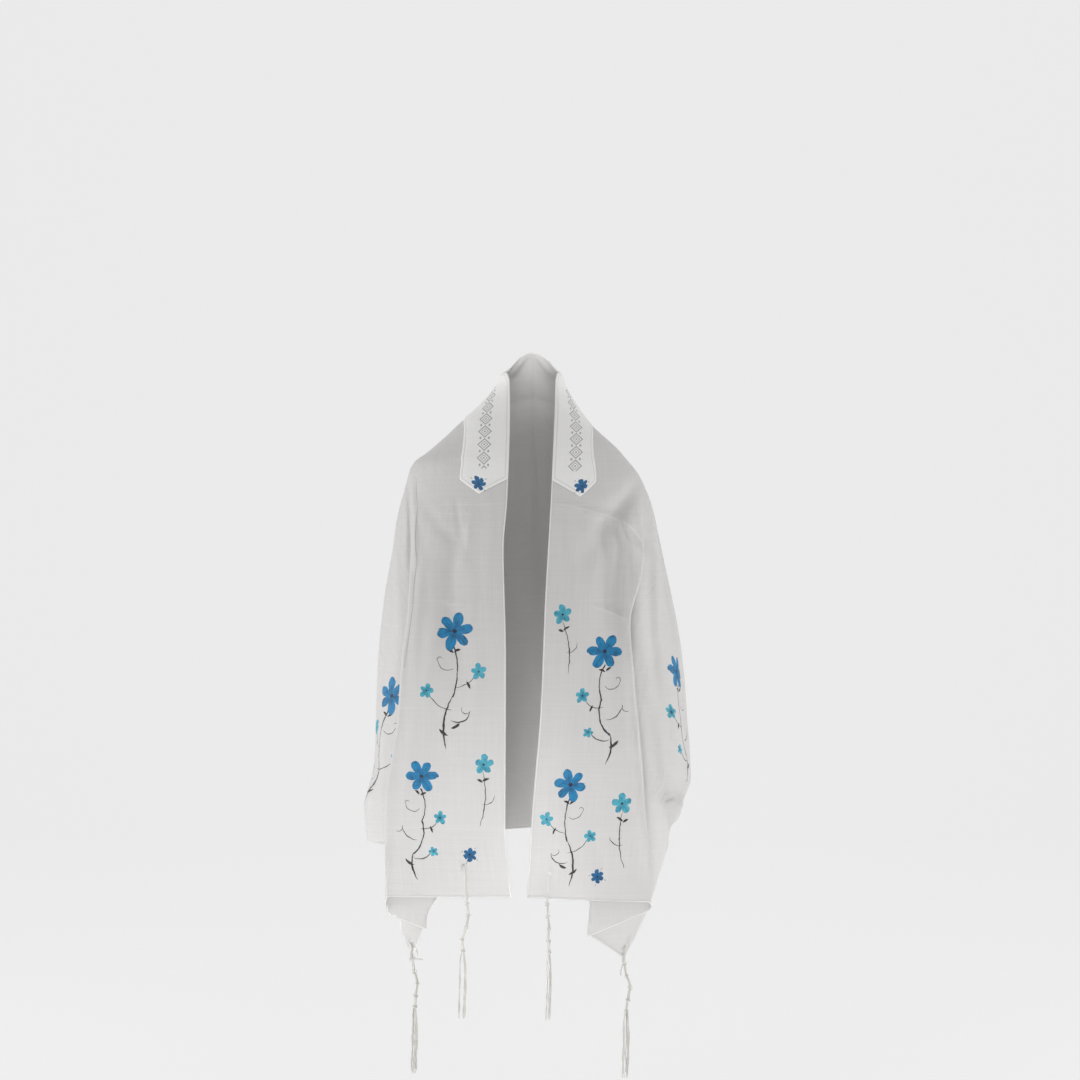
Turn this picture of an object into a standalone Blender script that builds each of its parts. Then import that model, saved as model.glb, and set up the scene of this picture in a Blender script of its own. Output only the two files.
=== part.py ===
# A tallit (prayer shawl) worn open over the shoulders, without its wearer.
# Metres, +Z up, the open front towards -Y. The origin is between the shoulders, where the neck edge
# of the cloth comes to rest. Left and right are those of someone who faces the shawl.
#
# The cloth is one rectangle. At any height it runs from one front edge, across that front panel,
# round a fold, behind the panel, out again to the arm, and round the back to the other side.
# "drop" is a height measured downwards from the origin.

import math

import bmesh
import bpy
import numpy as np
from mathutils import Vector

CLOTH_WALL = 0.0016
BAND_WALL = 0.0012
BAND_GAP = 0.0018          # between the cloth and the neckband that lies on it
LAYER_GAP = 0.011          # from one layer of a fold to the next
BODY_SQUARENESS = 0.82     # 1 is an ellipse, less is boxier
PANEL_FALLBACK = 0.030     # how far a front panel falls back towards the side
NAPE_RISE = 0.043
NECK_LEVEL_SHARE = 0.06    # how much of the neck edge lies level before it climbs to the nape
NECK_CLIMB = 1.35          # more climbs sooner
NECK_ROWS = 9
NECK_CROWDING = 1.6        # 1 spaces the neck rows evenly, more crowds them at the edge
BODY_ROWS = 21
NECK_SHARE = 0.16          # share of the height that the neck rows take
BACK_FOLD_GROWTH = 0.35    # the drop over which a fold of the back grows to its full rise

SIDE_PLACE = 5             # the place along the cloth that lies at the side of the figure
SPREAD_SHARES = (0.0, 0.58, 0.62, 0.66, 0.70, 1.0)      # how far towards it each place lies
SPREAD_DROP = 0.15         # where the columns have come to those shares from even spacing

BAND_ROWS = 34             # from each pointed end to the nape
BAND_COLUMNS = 8
BAND_POINT_SHARE = 0.12    # how much of that half the pointed end takes

EYELET_RADIUS = 0.0036
EYELET_SIDES = 10
EYELET_CUT = 0.012         # length of the cutter, less than would reach the next layer
EYELET_LIFT = 0.0012       # the cord hangs low in its eyelet
CORD_SIZE = 0.0020         # a tassel's doubled cord, and a third of its head's width
LOOP_REACH = 0.0028        # from the middle of the wall to the middle of the cord, on each face
LOOP_DROP = 0.006          # from the cloth's lower edge to the tassel's head
LEG_START = 0.002          # below that edge, where the cord's two legs begin
LEG_STEPS = 4
TURN_STEPS = 6
HEAD_LENGTH = 0.086
HEAD_RINGS = 15
HEAD_CORNER = 0.80         # how far out the head's corners reach, 1 is square
KNOTS = (0.04, 0.28, 0.52, 0.76, 0.97)
KNOT_WIDTH = 0.05
KNOT_SWELL = 0.45
STRAND_LENGTH = 0.116
STRAND_SHARES = (0.0, 0.12, 0.35, 0.65, 1.0)
STRAND_SLIMNESS = 0.62     # a strand's width against its root in the head
STRAND_UNEVENNESS = 0.02
STRAND_FLARE = 0.75        # half turns of a sine, so that the strands part and draw in again
STRAND_WAVE = 0.0014
STRAND_WAVES = 5.0


def table(names, *rows):
    """The columns of a table by name."""
    return {name: np.array(values, float) for name, values in zip(names.split(), zip(*rows))}


# The figure's depth, front and back, down its middle.
DEPTH = table(
    "drop    front    back",
    (-0.045, -0.030, 0.060),
    (0.000, -0.036, 0.078),
    (0.060, -0.058, 0.100),
    (0.160, -0.094, 0.124),
    (0.280, -0.116, 0.132),
    (0.450, -0.124, 0.126),
    (0.700, -0.122, 0.116),
    (0.900, -0.116, 0.110),
    (1.020, -0.112, 0.108),
)

# Half width from the middle plane to each arm: neck, slope, shoulder corner, sleeve, hand and hem.
WIDTH = {
    "left": table(
        "drop    half",
        (-0.045, 0.040),
        (-0.008, 0.043),
        (0.004, 0.051),
        (0.024, 0.061),
        (0.066, 0.099),
        (0.087, 0.124),
        (0.118, 0.157),
        (0.139, 0.183),
        (0.152, 0.201),
        (0.170, 0.211),
        (0.186, 0.215),
        (0.261, 0.231),
        (0.390, 0.252),
        (0.513, 0.262),
        (0.684, 0.274),
        (0.752, 0.291),
        (0.809, 0.286),
        (0.900, 0.252),
        (1.020, 0.236),
    ),
    "right": table(
        "drop    half",
        (-0.045, 0.045),
        (-0.008, 0.047),
        (0.004, 0.053),
        (0.033, 0.064),
        (0.078, 0.095),
        (0.139, 0.157),
        (0.184, 0.192),
        (0.244, 0.212),
        (0.324, 0.231),
        (0.471, 0.257),
        (0.585, 0.270),
        (0.700, 0.279),
        (0.752, 0.259),
        (0.836, 0.240),
        (0.920, 0.224),
        (1.020, 0.214),
    ),
}

# The front edge, from the neck down to the hem.
FRONT_EDGE = {
    "left": table(
        "drop    inner",
        (0.000, 0.0412),
        (0.015, 0.037),
        (0.070, 0.036),
        (0.220, 0.040),
        (0.302, 0.046),
        (0.490, 0.042),
        (0.770, 0.043),
        (0.890, 0.033),
    ),
    "right": table(
        "drop    inner",
        (0.000, 0.0452),
        (0.015, 0.0425),
        (0.070, 0.041),
        (0.228, 0.034),
        (0.385, 0.025),
        (0.574, 0.017),
        (0.734, 0.004),
        (0.890, -0.006),
    ),
}

# The fold between front panel and sleeve: its outer crest, the turn hidden behind the panel, and
# how far it has formed, from 0 where the cloth is smooth to 1.
FOLD = {
    "left": table(
        "drop    crest   turn   formed",
        (0.220, 0.198, 0.184, 0.00),
        (0.340, 0.201, 0.160, 0.70),
        (0.440, 0.211, 0.130, 1.00),
        (0.480, 0.217, 0.118, 1.00),
        (0.590, 0.226, 0.085, 1.00),
        (0.665, 0.237, 0.070, 1.00),
        (0.720, 0.246, 0.065, 1.00),
        (0.800, 0.247, 0.070, 1.00),
        (0.890, 0.247, 0.155, 1.00),
        (0.930, 0.246, 0.176, 1.00),
        (1.020, 0.235, 0.180, 1.00),
    ),
    "right": table(
        "drop    crest   turn   formed",
        (0.220, 0.198, 0.185, 0.00),
        (0.328, 0.187, 0.150, 0.70),
        (0.427, 0.168, 0.085, 1.00),
        (0.527, 0.175, 0.055, 1.00),
        (0.652, 0.187, 0.045, 1.00),
        (0.751, 0.194, 0.040, 1.00),
        (0.802, 0.199, 0.048, 1.00),
        (0.906, 0.205, 0.100, 1.00),
        (0.960, 0.200, 0.096, 1.00),
        (1.020, 0.190, 0.096, 1.00),
    ),
}

# The stretches of one side, in the order in which the cloth runs, and the columns in each.
STRETCHES = (("panel", 9), ("crest", 4), ("return", 4), ("turn", 4), ("sleeve", 9), ("back", 12))

# The lower edge, hem and then long edge, by place: 0 is the front edge, 1 the end of the panel,
# 2 of the crest, 3 of the return, 4 of the turn, 5 of the sleeve and 6 the middle of the back.
LOWER_EDGE = {
    "left": table(
        "place  drop",
        (0.00, 0.890),
        (1.00, 0.893),
        (2.00, 0.926),
        (3.00, 0.948),
        (4.00, 0.950),
        (4.17, 0.984),
        (4.34, 0.995),
        (4.50, 0.980),
        (4.64, 0.950),
        (4.77, 0.811),
        (5.00, 0.811),
        (5.50, 0.806),
        (6.00, 0.806),
    ),
    "right": table(
        "place  drop",
        (0.00, 0.890),
        (1.00, 0.902),
        (2.00, 0.920),
        (3.00, 0.958),
        (4.00, 0.961),
        (4.50, 1.001),
        (4.64, 0.972),
        (4.77, 0.936),
        (4.87, 0.893),
        (4.94, 0.845),
        (5.00, 0.768),
        (5.40, 0.800),
        (6.00, 0.806),
    ),
}

# Soft folds that run down the back: where each lies (right is plus), its half width, how far it
# stands out, and the drop at which it starts.
BACK_FOLDS = table(
    "middle  spread  rise    start",
    (-0.212, 0.022, 0.013, 0.22),
    (-0.160, 0.026, -0.014, 0.26),
    (-0.104, 0.021, 0.016, 0.34),
    (-0.050, 0.026, -0.012, 0.30),
    (0.006, 0.022, 0.013, 0.42),
    (0.062, 0.027, -0.014, 0.28),
    (0.122, 0.022, 0.017, 0.30),
    (0.182, 0.026, -0.012, 0.20),
)

# The outer edge of the neckband: how far along it is from the pointed end, 0, to the nape, 1, the
# angle round the figure from its front, and the drop.
BAND_OUTER = {
    "left": table(
        "place  angle  drop",
        (0.00, 29.5, 0.184),
        (0.08, 30.2, 0.160),
        (0.15, 36.2, 0.136),
        (0.23, 46.6, 0.110),
        (0.30, 56.0, 0.095),
        (0.40, 76.0, 0.081),
        (0.50, 98.0, 0.073),
        (0.65, 124.0, 0.063),
        (0.80, 148.0, 0.050),
        (1.00, 180.0, 0.037),
    ),
    "right": table(
        "place  angle  drop",
        (0.00, 30.0, 0.184),
        (0.08, 33.7, 0.160),
        (0.15, 38.5, 0.139),
        (0.22, 46.0, 0.120),
        (0.30, 60.5, 0.102),
        (0.40, 80.0, 0.088),
        (0.50, 100.0, 0.077),
        (0.65, 125.0, 0.064),
        (0.80, 148.0, 0.050),
        (1.00, 180.0, 0.037),
    ),
}

# The pointed ends of the neckband: the drop of its inner corner, point and outer corner, and how
# far across the band the point is.
BAND_END = {
    "left": {"inner": 0.186, "point": 0.212, "outer": 0.188, "across": 0.52},
    "right": {"inner": 0.188, "point": 0.218, "outer": 0.194, "across": 0.54},
}

# The four tassels: where each eyelet is, and how the cord sways as it hangs.
TASSELS = (
    {"name": "tassel_front_left", "side": "left", "place": 0.36, "eyelet": 0.836,
     "sway": (0.000, 0.003, 0.000, -0.008, -0.006), "spread": 0.0024},
    {"name": "tassel_front_right", "side": "right", "place": 0.165, "eyelet": 0.852,
     "sway": (0.000, 0.001, 0.003, 0.002, 0.003), "spread": 0.0016},
    {"name": "tassel_rear_left", "side": "left", "place": 4.34, "eyelet": 0.976,
     "sway": (0.000, 0.004, 0.010, 0.007, 0.005), "spread": 0.0019},
    {"name": "tassel_rear_right", "side": "right", "place": 4.50, "eyelet": 0.981,
     "sway": (0.000, 0.004, 0.011, 0.007, 0.004), "spread": 0.0021},
)


def follow(columns, name, at):
    """A smooth value between the rows of a table, never past the rows either side of it."""
    keys = columns["place"] if "place" in columns else columns["drop"]
    values = columns[name]
    at = min(max(at, keys[0]), keys[-1])
    row = min(int(np.searchsorted(keys, at, side="right")), len(keys) - 1)
    steps = np.diff(keys)
    rises = np.diff(values) / steps

    def slope(i):
        if i in (0, len(rises)):
            return rises[min(i, len(rises) - 1)]
        before, after = rises[i - 1], rises[i]
        return 0.0 if before * after <= 0 else 2 * before * after / (before + after)

    step = steps[row - 1]
    t = (at - keys[row - 1]) / step
    start, end = values[row - 1], values[row]
    lift = (slope(row - 1) * (1 - t) - slope(row) * t) * step * t * (1 - t)
    ease = t * t * (3 - 2 * t)
    return start + (end - start) * ease + lift


def start_angle(side, drop):
    """Where the front edge lies on the figure, as an angle round from the front."""
    ratio = follow(FRONT_EDGE[side], "inner", drop) / follow(WIDTH[side], "half", drop)
    return math.asin(min(max(ratio, 0.02), 0.98) ** (1 / BODY_SQUARENESS))


def smooth_angle(side, column, drop):
    """The angle of a column where the cloth lies smooth: even at the neck, and lower down with the
    columns of the fold close together."""
    start = start_angle(side, drop)
    even = start + (math.pi - start) * column / COLUMNS
    place = place_of(column)
    if place < SIDE_PLACE:
        share = float(np.interp(place, range(SIDE_PLACE + 1), SPREAD_SHARES))
        spread = start + (math.pi / 2 - start) * share
    else:
        spread = math.pi / 2 * (1 + place - SIDE_PLACE)
    t = min(max(drop / SPREAD_DROP, 0.0), 1.0)
    return even + (spread - even) * t * t * (3 - 2 * t)


def smooth_shoulder(side, angle, drop):
    """The cloth where it lies smooth on the figure, at an angle round from the front."""
    half = follow(WIDTH[side], "half", drop)
    x = half * max(math.sin(angle), 0.0) ** BODY_SQUARENESS
    reach = "front" if math.cos(angle) > 0 else "back"
    y = follow(DEPTH, reach, drop) * abs(math.cos(angle)) ** BODY_SQUARENESS
    return x, y


def hanging_fold(side, place, drop):
    """The cloth where it hangs in a fold between the front panel and the sleeve."""
    half = follow(WIDTH[side], "half", drop)
    inner = follow(FRONT_EDGE[side], "inner", drop)
    front = follow(DEPTH, "front", drop)
    back = follow(DEPTH, "back", drop)
    radius = LAYER_GAP / 2
    crest = follow(FOLD[side], "crest", drop) - radius
    turn = min(follow(FOLD[side], "turn", drop), crest - radius) + radius

    def panel(x):
        return front + PANEL_FALLBACK * (x / half) ** 2

    stretch = min(int(place), len(STRETCHES) - 1)
    t = place - stretch
    if stretch == 0:
        x = inner + (crest - inner) * t
        return x, panel(x)
    if stretch == 1:
        angle = math.pi * t
        return crest + radius * math.sin(angle), panel(crest) + radius * (1 - math.cos(angle))
    if stretch == 2:
        x = crest + (turn - crest) * t
        return x, panel(x) + LAYER_GAP
    if stretch == 3:
        angle = math.pi * t
        return turn - radius * math.sin(angle), panel(turn) + LAYER_GAP + radius * (1 - math.cos(angle))
    if stretch == 4:
        x = turn + (half - turn) * t
        start = panel(turn) + 2 * LAYER_GAP
        rest = panel(x) + 2 * LAYER_GAP
        round_in = 1 - math.sqrt(max(1 - t ** 3, 0.0))
        return x, max(start, rest) * (1 - round_in)
    angle = math.pi / 2 * t
    return half * math.cos(angle) ** BODY_SQUARENESS, back * math.sin(angle) ** BODY_SQUARENESS


def back_fold(x, drop):
    """How far the folds of the back push the cloth out at a place across the back."""
    begun = np.clip((drop - BACK_FOLDS["start"]) / BACK_FOLD_GROWTH, 0, 1)
    away = (x - BACK_FOLDS["middle"]) / BACK_FOLDS["spread"]
    return float(np.sum(BACK_FOLDS["rise"] * begun * begun * (3 - 2 * begun) * np.exp(-away * away)))


def place_of(column):
    """The place along the stretches of a column number, which may lie between two columns."""
    for number, (name, count) in enumerate(STRETCHES):
        if column <= count or number == len(STRETCHES) - 1:
            t = min(column / count, 1.0)
            return number + (math.sin(math.pi / 2 * t) if name == "sleeve" else t)
        column -= count


def column_of(place):
    """The column number of a place along the stretches."""
    stretch = min(int(place), len(STRETCHES) - 1)
    t = place - stretch
    if STRETCHES[stretch][0] == "sleeve":
        t = math.asin(t) / (math.pi / 2)
    return sum(count for _, count in STRETCHES[:stretch]) + t * STRETCHES[stretch][1]


COLUMNS = sum(count for _, count in STRETCHES)


def cloth_point(side, column, drop):
    """The middle of the cloth's wall at a column and a drop."""
    formed = follow(FOLD[side], "formed", drop)
    smooth = np.array(smooth_shoulder(side, smooth_angle(side, column, drop), drop))
    folded = np.array(hanging_fold(side, place_of(column), drop)) if formed > 0 else smooth
    x, y = smooth + (folded - smooth) * formed
    x = -x if side == "left" else x
    if y > 0:
        y += back_fold(x, drop) * min(y / follow(DEPTH, "back", drop), 1.0)
    return Vector((x, y, -drop))


def cloth_normal(side, column, drop):
    """The direction out of the cloth, away from the wearer."""
    near, low = 0.05, 0.002
    first, last = max(column - near, 0.0), min(column + near, COLUMNS)
    across = cloth_point(side, last, drop) - cloth_point(side, first, drop)
    down = cloth_point(side, column, drop + low) - cloth_point(side, column, drop - low)
    out = across.cross(down) if side == "left" else down.cross(across)
    return out.normalized()


def neck_drop(column):
    """The neck edge lies level at the side of the neck and climbs behind it to the nape."""
    behind = max(column / COLUMNS - NECK_LEVEL_SHARE, 0.0) / (1 - NECK_LEVEL_SHARE)
    return -NAPE_RISE * (1 - math.cos(math.pi / 2 * behind) ** NECK_CLIMB)


def lower_drop(side, column):
    """How low the cloth reaches at a column."""
    edge = LOWER_EDGE[side]
    return float(np.interp(place_of(column), edge["place"], edge["drop"]))


def row_shares():
    """Where the rows lie between neck edge and lower edge, close together at the neck."""
    neck = [NECK_SHARE * (i / NECK_ROWS) ** NECK_CROWDING for i in range(NECK_ROWS)]
    body = [NECK_SHARE + (1 - NECK_SHARE) * i / BODY_ROWS for i in range(BODY_ROWS + 1)]
    return neck + body


def column_points(side, column):
    """One column of the cloth from the neck edge to the lower edge."""
    top, bottom = neck_drop(column), lower_drop(side, column)
    return [cloth_point(side, column, top + (bottom - top) * share) for share in row_shares()]


def material(name, colour, roughness):
    """A plain fabric finish."""
    finish = bpy.data.materials.new(name)
    finish.use_nodes = True
    shader = finish.node_tree.nodes["Principled BSDF"]
    shader.inputs["Base Color"].default_value = (*colour, 1.0)
    shader.inputs["Roughness"].default_value = roughness
    shader.inputs["Metallic"].default_value = 0.0
    return finish


def grid_object(name, lines, wall, finish):
    """A wall of the given thickness through lines of points, half to each side of them."""
    mesh = bpy.data.meshes.new(name)
    rows = len(lines[0])
    points = [point for line in lines for point in line]
    faces = []
    for i in range(len(lines) - 1):
        for j in range(rows - 1):
            faces.append((i * rows + j, i * rows + j + 1, (i + 1) * rows + j + 1, (i + 1) * rows + j))
    mesh.from_pydata(points, [], faces)
    mesh.materials.append(finish)
    mesh.shade_smooth()
    piece = bpy.data.objects.new(name, mesh)
    bpy.context.scene.collection.objects.link(piece)
    thick = piece.modifiers.new("wall", "SOLIDIFY")
    thick.thickness = wall
    thick.offset = 0.0
    thick.use_even_offset = True
    return piece


def build_cloth(finish):
    """The whole rectangle, from the left front edge round the back to the right front edge."""
    left = [column_points("left", column) for column in range(COLUMNS + 1)]
    right = [column_points("right", column) for column in range(COLUMNS)]
    return grid_object("shawl_cloth", left + right[::-1], CLOTH_WALL, finish)


def band_point(side, angle, drop):
    """A point of the neckband's middle, over the smooth cloth at an angle round the figure."""
    near, low = 0.002, 0.002

    def beneath(turn, fall):
        x, y = smooth_shoulder(side, angle + turn, drop + fall)
        return Vector((-x if side == "left" else x, y, -drop - fall))

    across = beneath(near, 0) - beneath(-near, 0)
    down = beneath(0, low) - beneath(0, -low)
    out = across.cross(down) if side == "left" else down.cross(across)
    return beneath(0, 0) + out.normalized() * ((CLOTH_WALL + BAND_WALL) / 2 + BAND_GAP)


def band_line(side, along):
    """A line across the neckband, inner edge first; along runs from its end, 0, to the nape, 1."""
    end = BAND_END[side]
    if along < 0.5:
        inner_drop = end["inner"] * (1 - along / 0.5)
        inner_angle = start_angle(side, inner_drop)
    else:
        column = COLUMNS * (along - 0.5) / 0.5
        inner_drop = neck_drop(column)
        start = start_angle(side, inner_drop)
        inner_angle = start + (math.pi - start) * column / COLUMNS
    outer_angle = math.radians(follow(BAND_OUTER[side], "angle", along))
    outer_drop = follow(BAND_OUTER[side], "drop", along)
    pointed = max(1 - along / BAND_POINT_SHARE, 0.0)
    line = []
    for number in range(BAND_COLUMNS + 1):
        across = number / BAND_COLUMNS
        angle = inner_angle + (outer_angle - inner_angle) * across
        drop = inner_drop + (outer_drop - inner_drop) * across
        if pointed:
            ends = (end["inner"], end["point"], end["outer"])
            drop += pointed * (float(np.interp(across, (0.0, end["across"], 1.0), ends)) - end["inner"])
        line.append(band_point(side, angle, drop))
    return line


def band_lines(side):
    """The lines of one half of the neckband, from its pointed end up and round to the nape."""
    return [band_line(side, row / BAND_ROWS) for row in range(BAND_ROWS + 1)]


def build_neckband(finish):
    left = band_lines("left")
    right = band_lines("right")
    return grid_object("neckband", left + right[-2::-1], BAND_WALL, finish)


def cut_eyelet(cloth, spec):
    """A round hole through the cloth, a little above the cord that hangs in it."""
    column = column_of(spec["place"])
    middle = cloth_point(spec["side"], column, spec["eyelet"] - EYELET_LIFT)
    bpy.ops.mesh.primitive_cylinder_add(vertices=EYELET_SIDES, radius=EYELET_RADIUS, depth=EYELET_CUT)
    cutter = bpy.context.object
    cutter.name = "cut_" + spec["name"]
    cutter.location = middle
    normal = cloth_normal(spec["side"], column, spec["eyelet"])
    cutter.rotation_euler = normal.to_track_quat("Z", "Y").to_euler()
    cutter.hide_render = True
    cutter.display_type = "WIRE"
    hole = cloth.modifiers.new("eyelet", "BOOLEAN")
    hole.operation = "DIFFERENCE"
    hole.object = cutter


# The rim of a tassel's head, in order, on a grid of four by four points.
RIM = ((0, 0), (1, 0), (2, 0), (3, 0), (3, 1), (3, 2), (3, 3), (2, 3), (1, 3), (0, 3), (0, 2), (0, 1))
FRONT_CELL = ((1, 2), (2, 2), (2, 3), (1, 3))
REAR_CELL = ((1, 1), (2, 1), (2, 0), (1, 0))


def skin(mesh, near, far):
    """Faces between two rings of the same number of points."""
    for i in range(len(near)):
        j = (i + 1) % len(near)
        mesh.faces.new((near[i], near[j], far[j], far[i]))


def grid_ring(mesh, centre, across, out, size, with_middle):
    """The points of the head at one height: its rim, and at its ends the middle four too."""
    spots = list(RIM)
    if with_middle:
        spots += [(1, 1), (2, 1), (2, 2), (1, 2)]
    points = {}
    for a, b in spots:
        pull = HEAD_CORNER if a in (0, 3) and b in (0, 3) else 1.0
        offset = across * (a - 1.5) + out * (b - 1.5)
        points[(a, b)] = mesh.verts.new(centre + offset * size * pull)
    return points


def sway_at(spec, share):
    """Sideways swing of a tassel at a share of its head's length."""
    sway = spec["sway"]
    return float(np.interp(share * (len(sway) - 1), range(len(sway)), sway))


def head_rings(mesh, spec, top, across, out):
    rings = []
    for number in range(HEAD_RINGS):
        share = number / (HEAD_RINGS - 1)
        swell = max(math.exp(-((share - knot) / KNOT_WIDTH) ** 2) for knot in KNOTS)
        centre = top + Vector((sway_at(spec, share), 0, -HEAD_LENGTH * share))
        size = CORD_SIZE * (1 + KNOT_SWELL * swell)
        ends = number in (0, HEAD_RINGS - 1)
        rings.append(grid_ring(mesh, centre, across, out, size, ends))
    for near, far in zip(rings, rings[1:]):
        skin(mesh, [near[spot] for spot in RIM], [far[spot] for spot in RIM])
    return rings


def cell_corners(a, b):
    return (a, b), (a + 1, b), (a + 1, b + 1), (a, b + 1)


def hang_loop(mesh, spec, top_ring, column, across, out):
    """The doubled cord from the head up the front of the cloth, through its eyelet and back."""
    side = spec["side"]
    edge = lower_drop(side, column)
    half = CORD_SIZE / 2
    leg = []
    for drop in np.linspace(edge + LEG_START, spec["eyelet"] + LOOP_REACH, LEG_STEPS + 1):
        below = max(drop - edge, 0.0)
        leg.append(cloth_point(side, column, drop - below) - Vector((0, 0, below)))
    path = [(middle, 0.0) for middle in leg]
    path += [(leg[-1], math.pi * i / TURN_STEPS) for i in range(1, TURN_STEPS)]
    path += [(middle, math.pi) for middle in leg[::-1]]
    near = [top_ring[spot] for spot in FRONT_CELL]
    for middle, angle in path:
        away = out * math.cos(angle) + Vector((0, 0, math.sin(angle)))
        centre = middle + away * LOOP_REACH
        far = [mesh.verts.new(centre + across * half * a + away * half * b)
               for a, b in ((-1, -1), (1, -1), (1, 1), (-1, 1))]
        skin(mesh, near, far)
        near = far
    skin(mesh, near, [top_ring[spot] for spot in REAR_CELL])


def hang_strand(mesh, spec, ring, cell, across, out):
    """One loose strand from a cell of the head's lower end."""
    a, b = cell
    number = 3 * a + b
    near = [ring[spot] for spot in cell_corners(a, b)]
    start = sum((vert.co for vert in near), Vector()) / 4
    offsets = [(vert.co - start) * STRAND_SLIMNESS for vert in near]
    length = STRAND_LENGTH * (1 - STRAND_UNEVENNESS * (number * 3 % 5))
    for share in STRAND_SHARES[1:]:
        spread = spec["spread"] * math.sin(math.pi * STRAND_FLARE * share)
        wave = STRAND_WAVE * math.sin(STRAND_WAVES * share) * share
        centre = start + across * ((a - 1) * spread + wave) + out * (b - 1) * spread
        centre.z -= length * share
        far = [mesh.verts.new(centre + offset) for offset in offsets]
        skin(mesh, near, far)
        near = far
    mesh.faces.new(near)


def build_tassel(spec, finish):
    """A loop, a knotted head and eight strands, all one piece of cord."""
    side = spec["side"]
    column = column_of(spec["place"])
    edge = lower_drop(side, column)
    out = cloth_normal(side, column, edge)
    out.z = 0
    out.normalize()
    across = Vector((0, 0, 1)).cross(out)
    top = cloth_point(side, column, edge) - Vector((0, 0, LOOP_DROP))
    mesh = bmesh.new()
    rings = head_rings(mesh, spec, top, across, out)
    hang_loop(mesh, spec, rings[0], column, across, out)
    for a in range(3):
        for b in range(3):
            if (a, b) not in ((1, 0), (1, 2)):
                mesh.faces.new([rings[0][spot] for spot in cell_corners(a, b)])
            if (a, b) == (1, 1):
                mesh.faces.new([rings[-1][spot] for spot in cell_corners(a, b)])
            else:
                hang_strand(mesh, spec, rings[-1], (a, b), across, out)
    bmesh.ops.recalc_face_normals(mesh, faces=mesh.faces)
    data = bpy.data.meshes.new(spec["name"])
    mesh.to_mesh(data)
    mesh.free()
    data.materials.append(finish)
    piece = bpy.data.objects.new(spec["name"], data)
    bpy.context.scene.collection.objects.link(piece)
    return piece


def clear_scene():
    for old in list(bpy.data.objects):
        bpy.data.objects.remove(old, do_unlink=True)


def build():
    clear_scene()
    silk = material("silk", (0.72, 0.71, 0.70), 0.55)
    band_silk = material("band_silk", (0.80, 0.79, 0.78), 0.50)
    cord = material("cord", (0.78, 0.76, 0.72), 0.85)
    cloth = build_cloth(silk)
    build_neckband(band_silk)
    for spec in TASSELS:
        cut_eyelet(cloth, spec)
        build_tassel(spec, cord)


build()
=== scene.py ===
import math
from functools import reduce

import bmesh
import bpy
import numpy as np
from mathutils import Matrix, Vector, noise
from mathutils.bvhtree import BVHTree


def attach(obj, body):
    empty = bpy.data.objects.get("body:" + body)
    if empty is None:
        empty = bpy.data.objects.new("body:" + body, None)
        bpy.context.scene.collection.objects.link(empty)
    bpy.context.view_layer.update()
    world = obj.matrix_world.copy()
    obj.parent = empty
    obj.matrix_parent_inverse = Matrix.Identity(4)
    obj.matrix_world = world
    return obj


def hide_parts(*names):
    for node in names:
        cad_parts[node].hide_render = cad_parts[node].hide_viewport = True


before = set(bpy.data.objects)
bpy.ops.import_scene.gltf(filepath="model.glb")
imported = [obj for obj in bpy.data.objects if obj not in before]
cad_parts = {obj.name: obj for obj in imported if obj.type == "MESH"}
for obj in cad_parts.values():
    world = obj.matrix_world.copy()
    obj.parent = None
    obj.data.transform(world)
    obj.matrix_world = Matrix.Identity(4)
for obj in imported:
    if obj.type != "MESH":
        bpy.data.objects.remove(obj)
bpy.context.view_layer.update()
print("frame loaded")


def table(names, *rows):
    return {name: np.array(values, float) for name, values in zip(names.split(), zip(*rows))}


def lengths(names, *rows, plain=""):
    # a table written in millimetres, apart from its plain columns
    columns = table(names, *rows)
    return {name: values / (1 if name in plain.split() else 1000) for name, values in columns.items()}


def smoothStep(t):
    t = np.clip(t, 0, 1)
    return t * t * (3 - 2 * t)


def unit(vectors):
    return vectors / np.maximum(np.linalg.norm(vectors, axis=-1, keepdims=True), 1e-9)


def distanceAlong(points, axis=0):
    steps = np.linalg.norm(np.diff(points, axis=axis), axis=-1)
    return np.insert(np.cumsum(steps, axis=axis), 0, 0, axis=axis)


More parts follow.
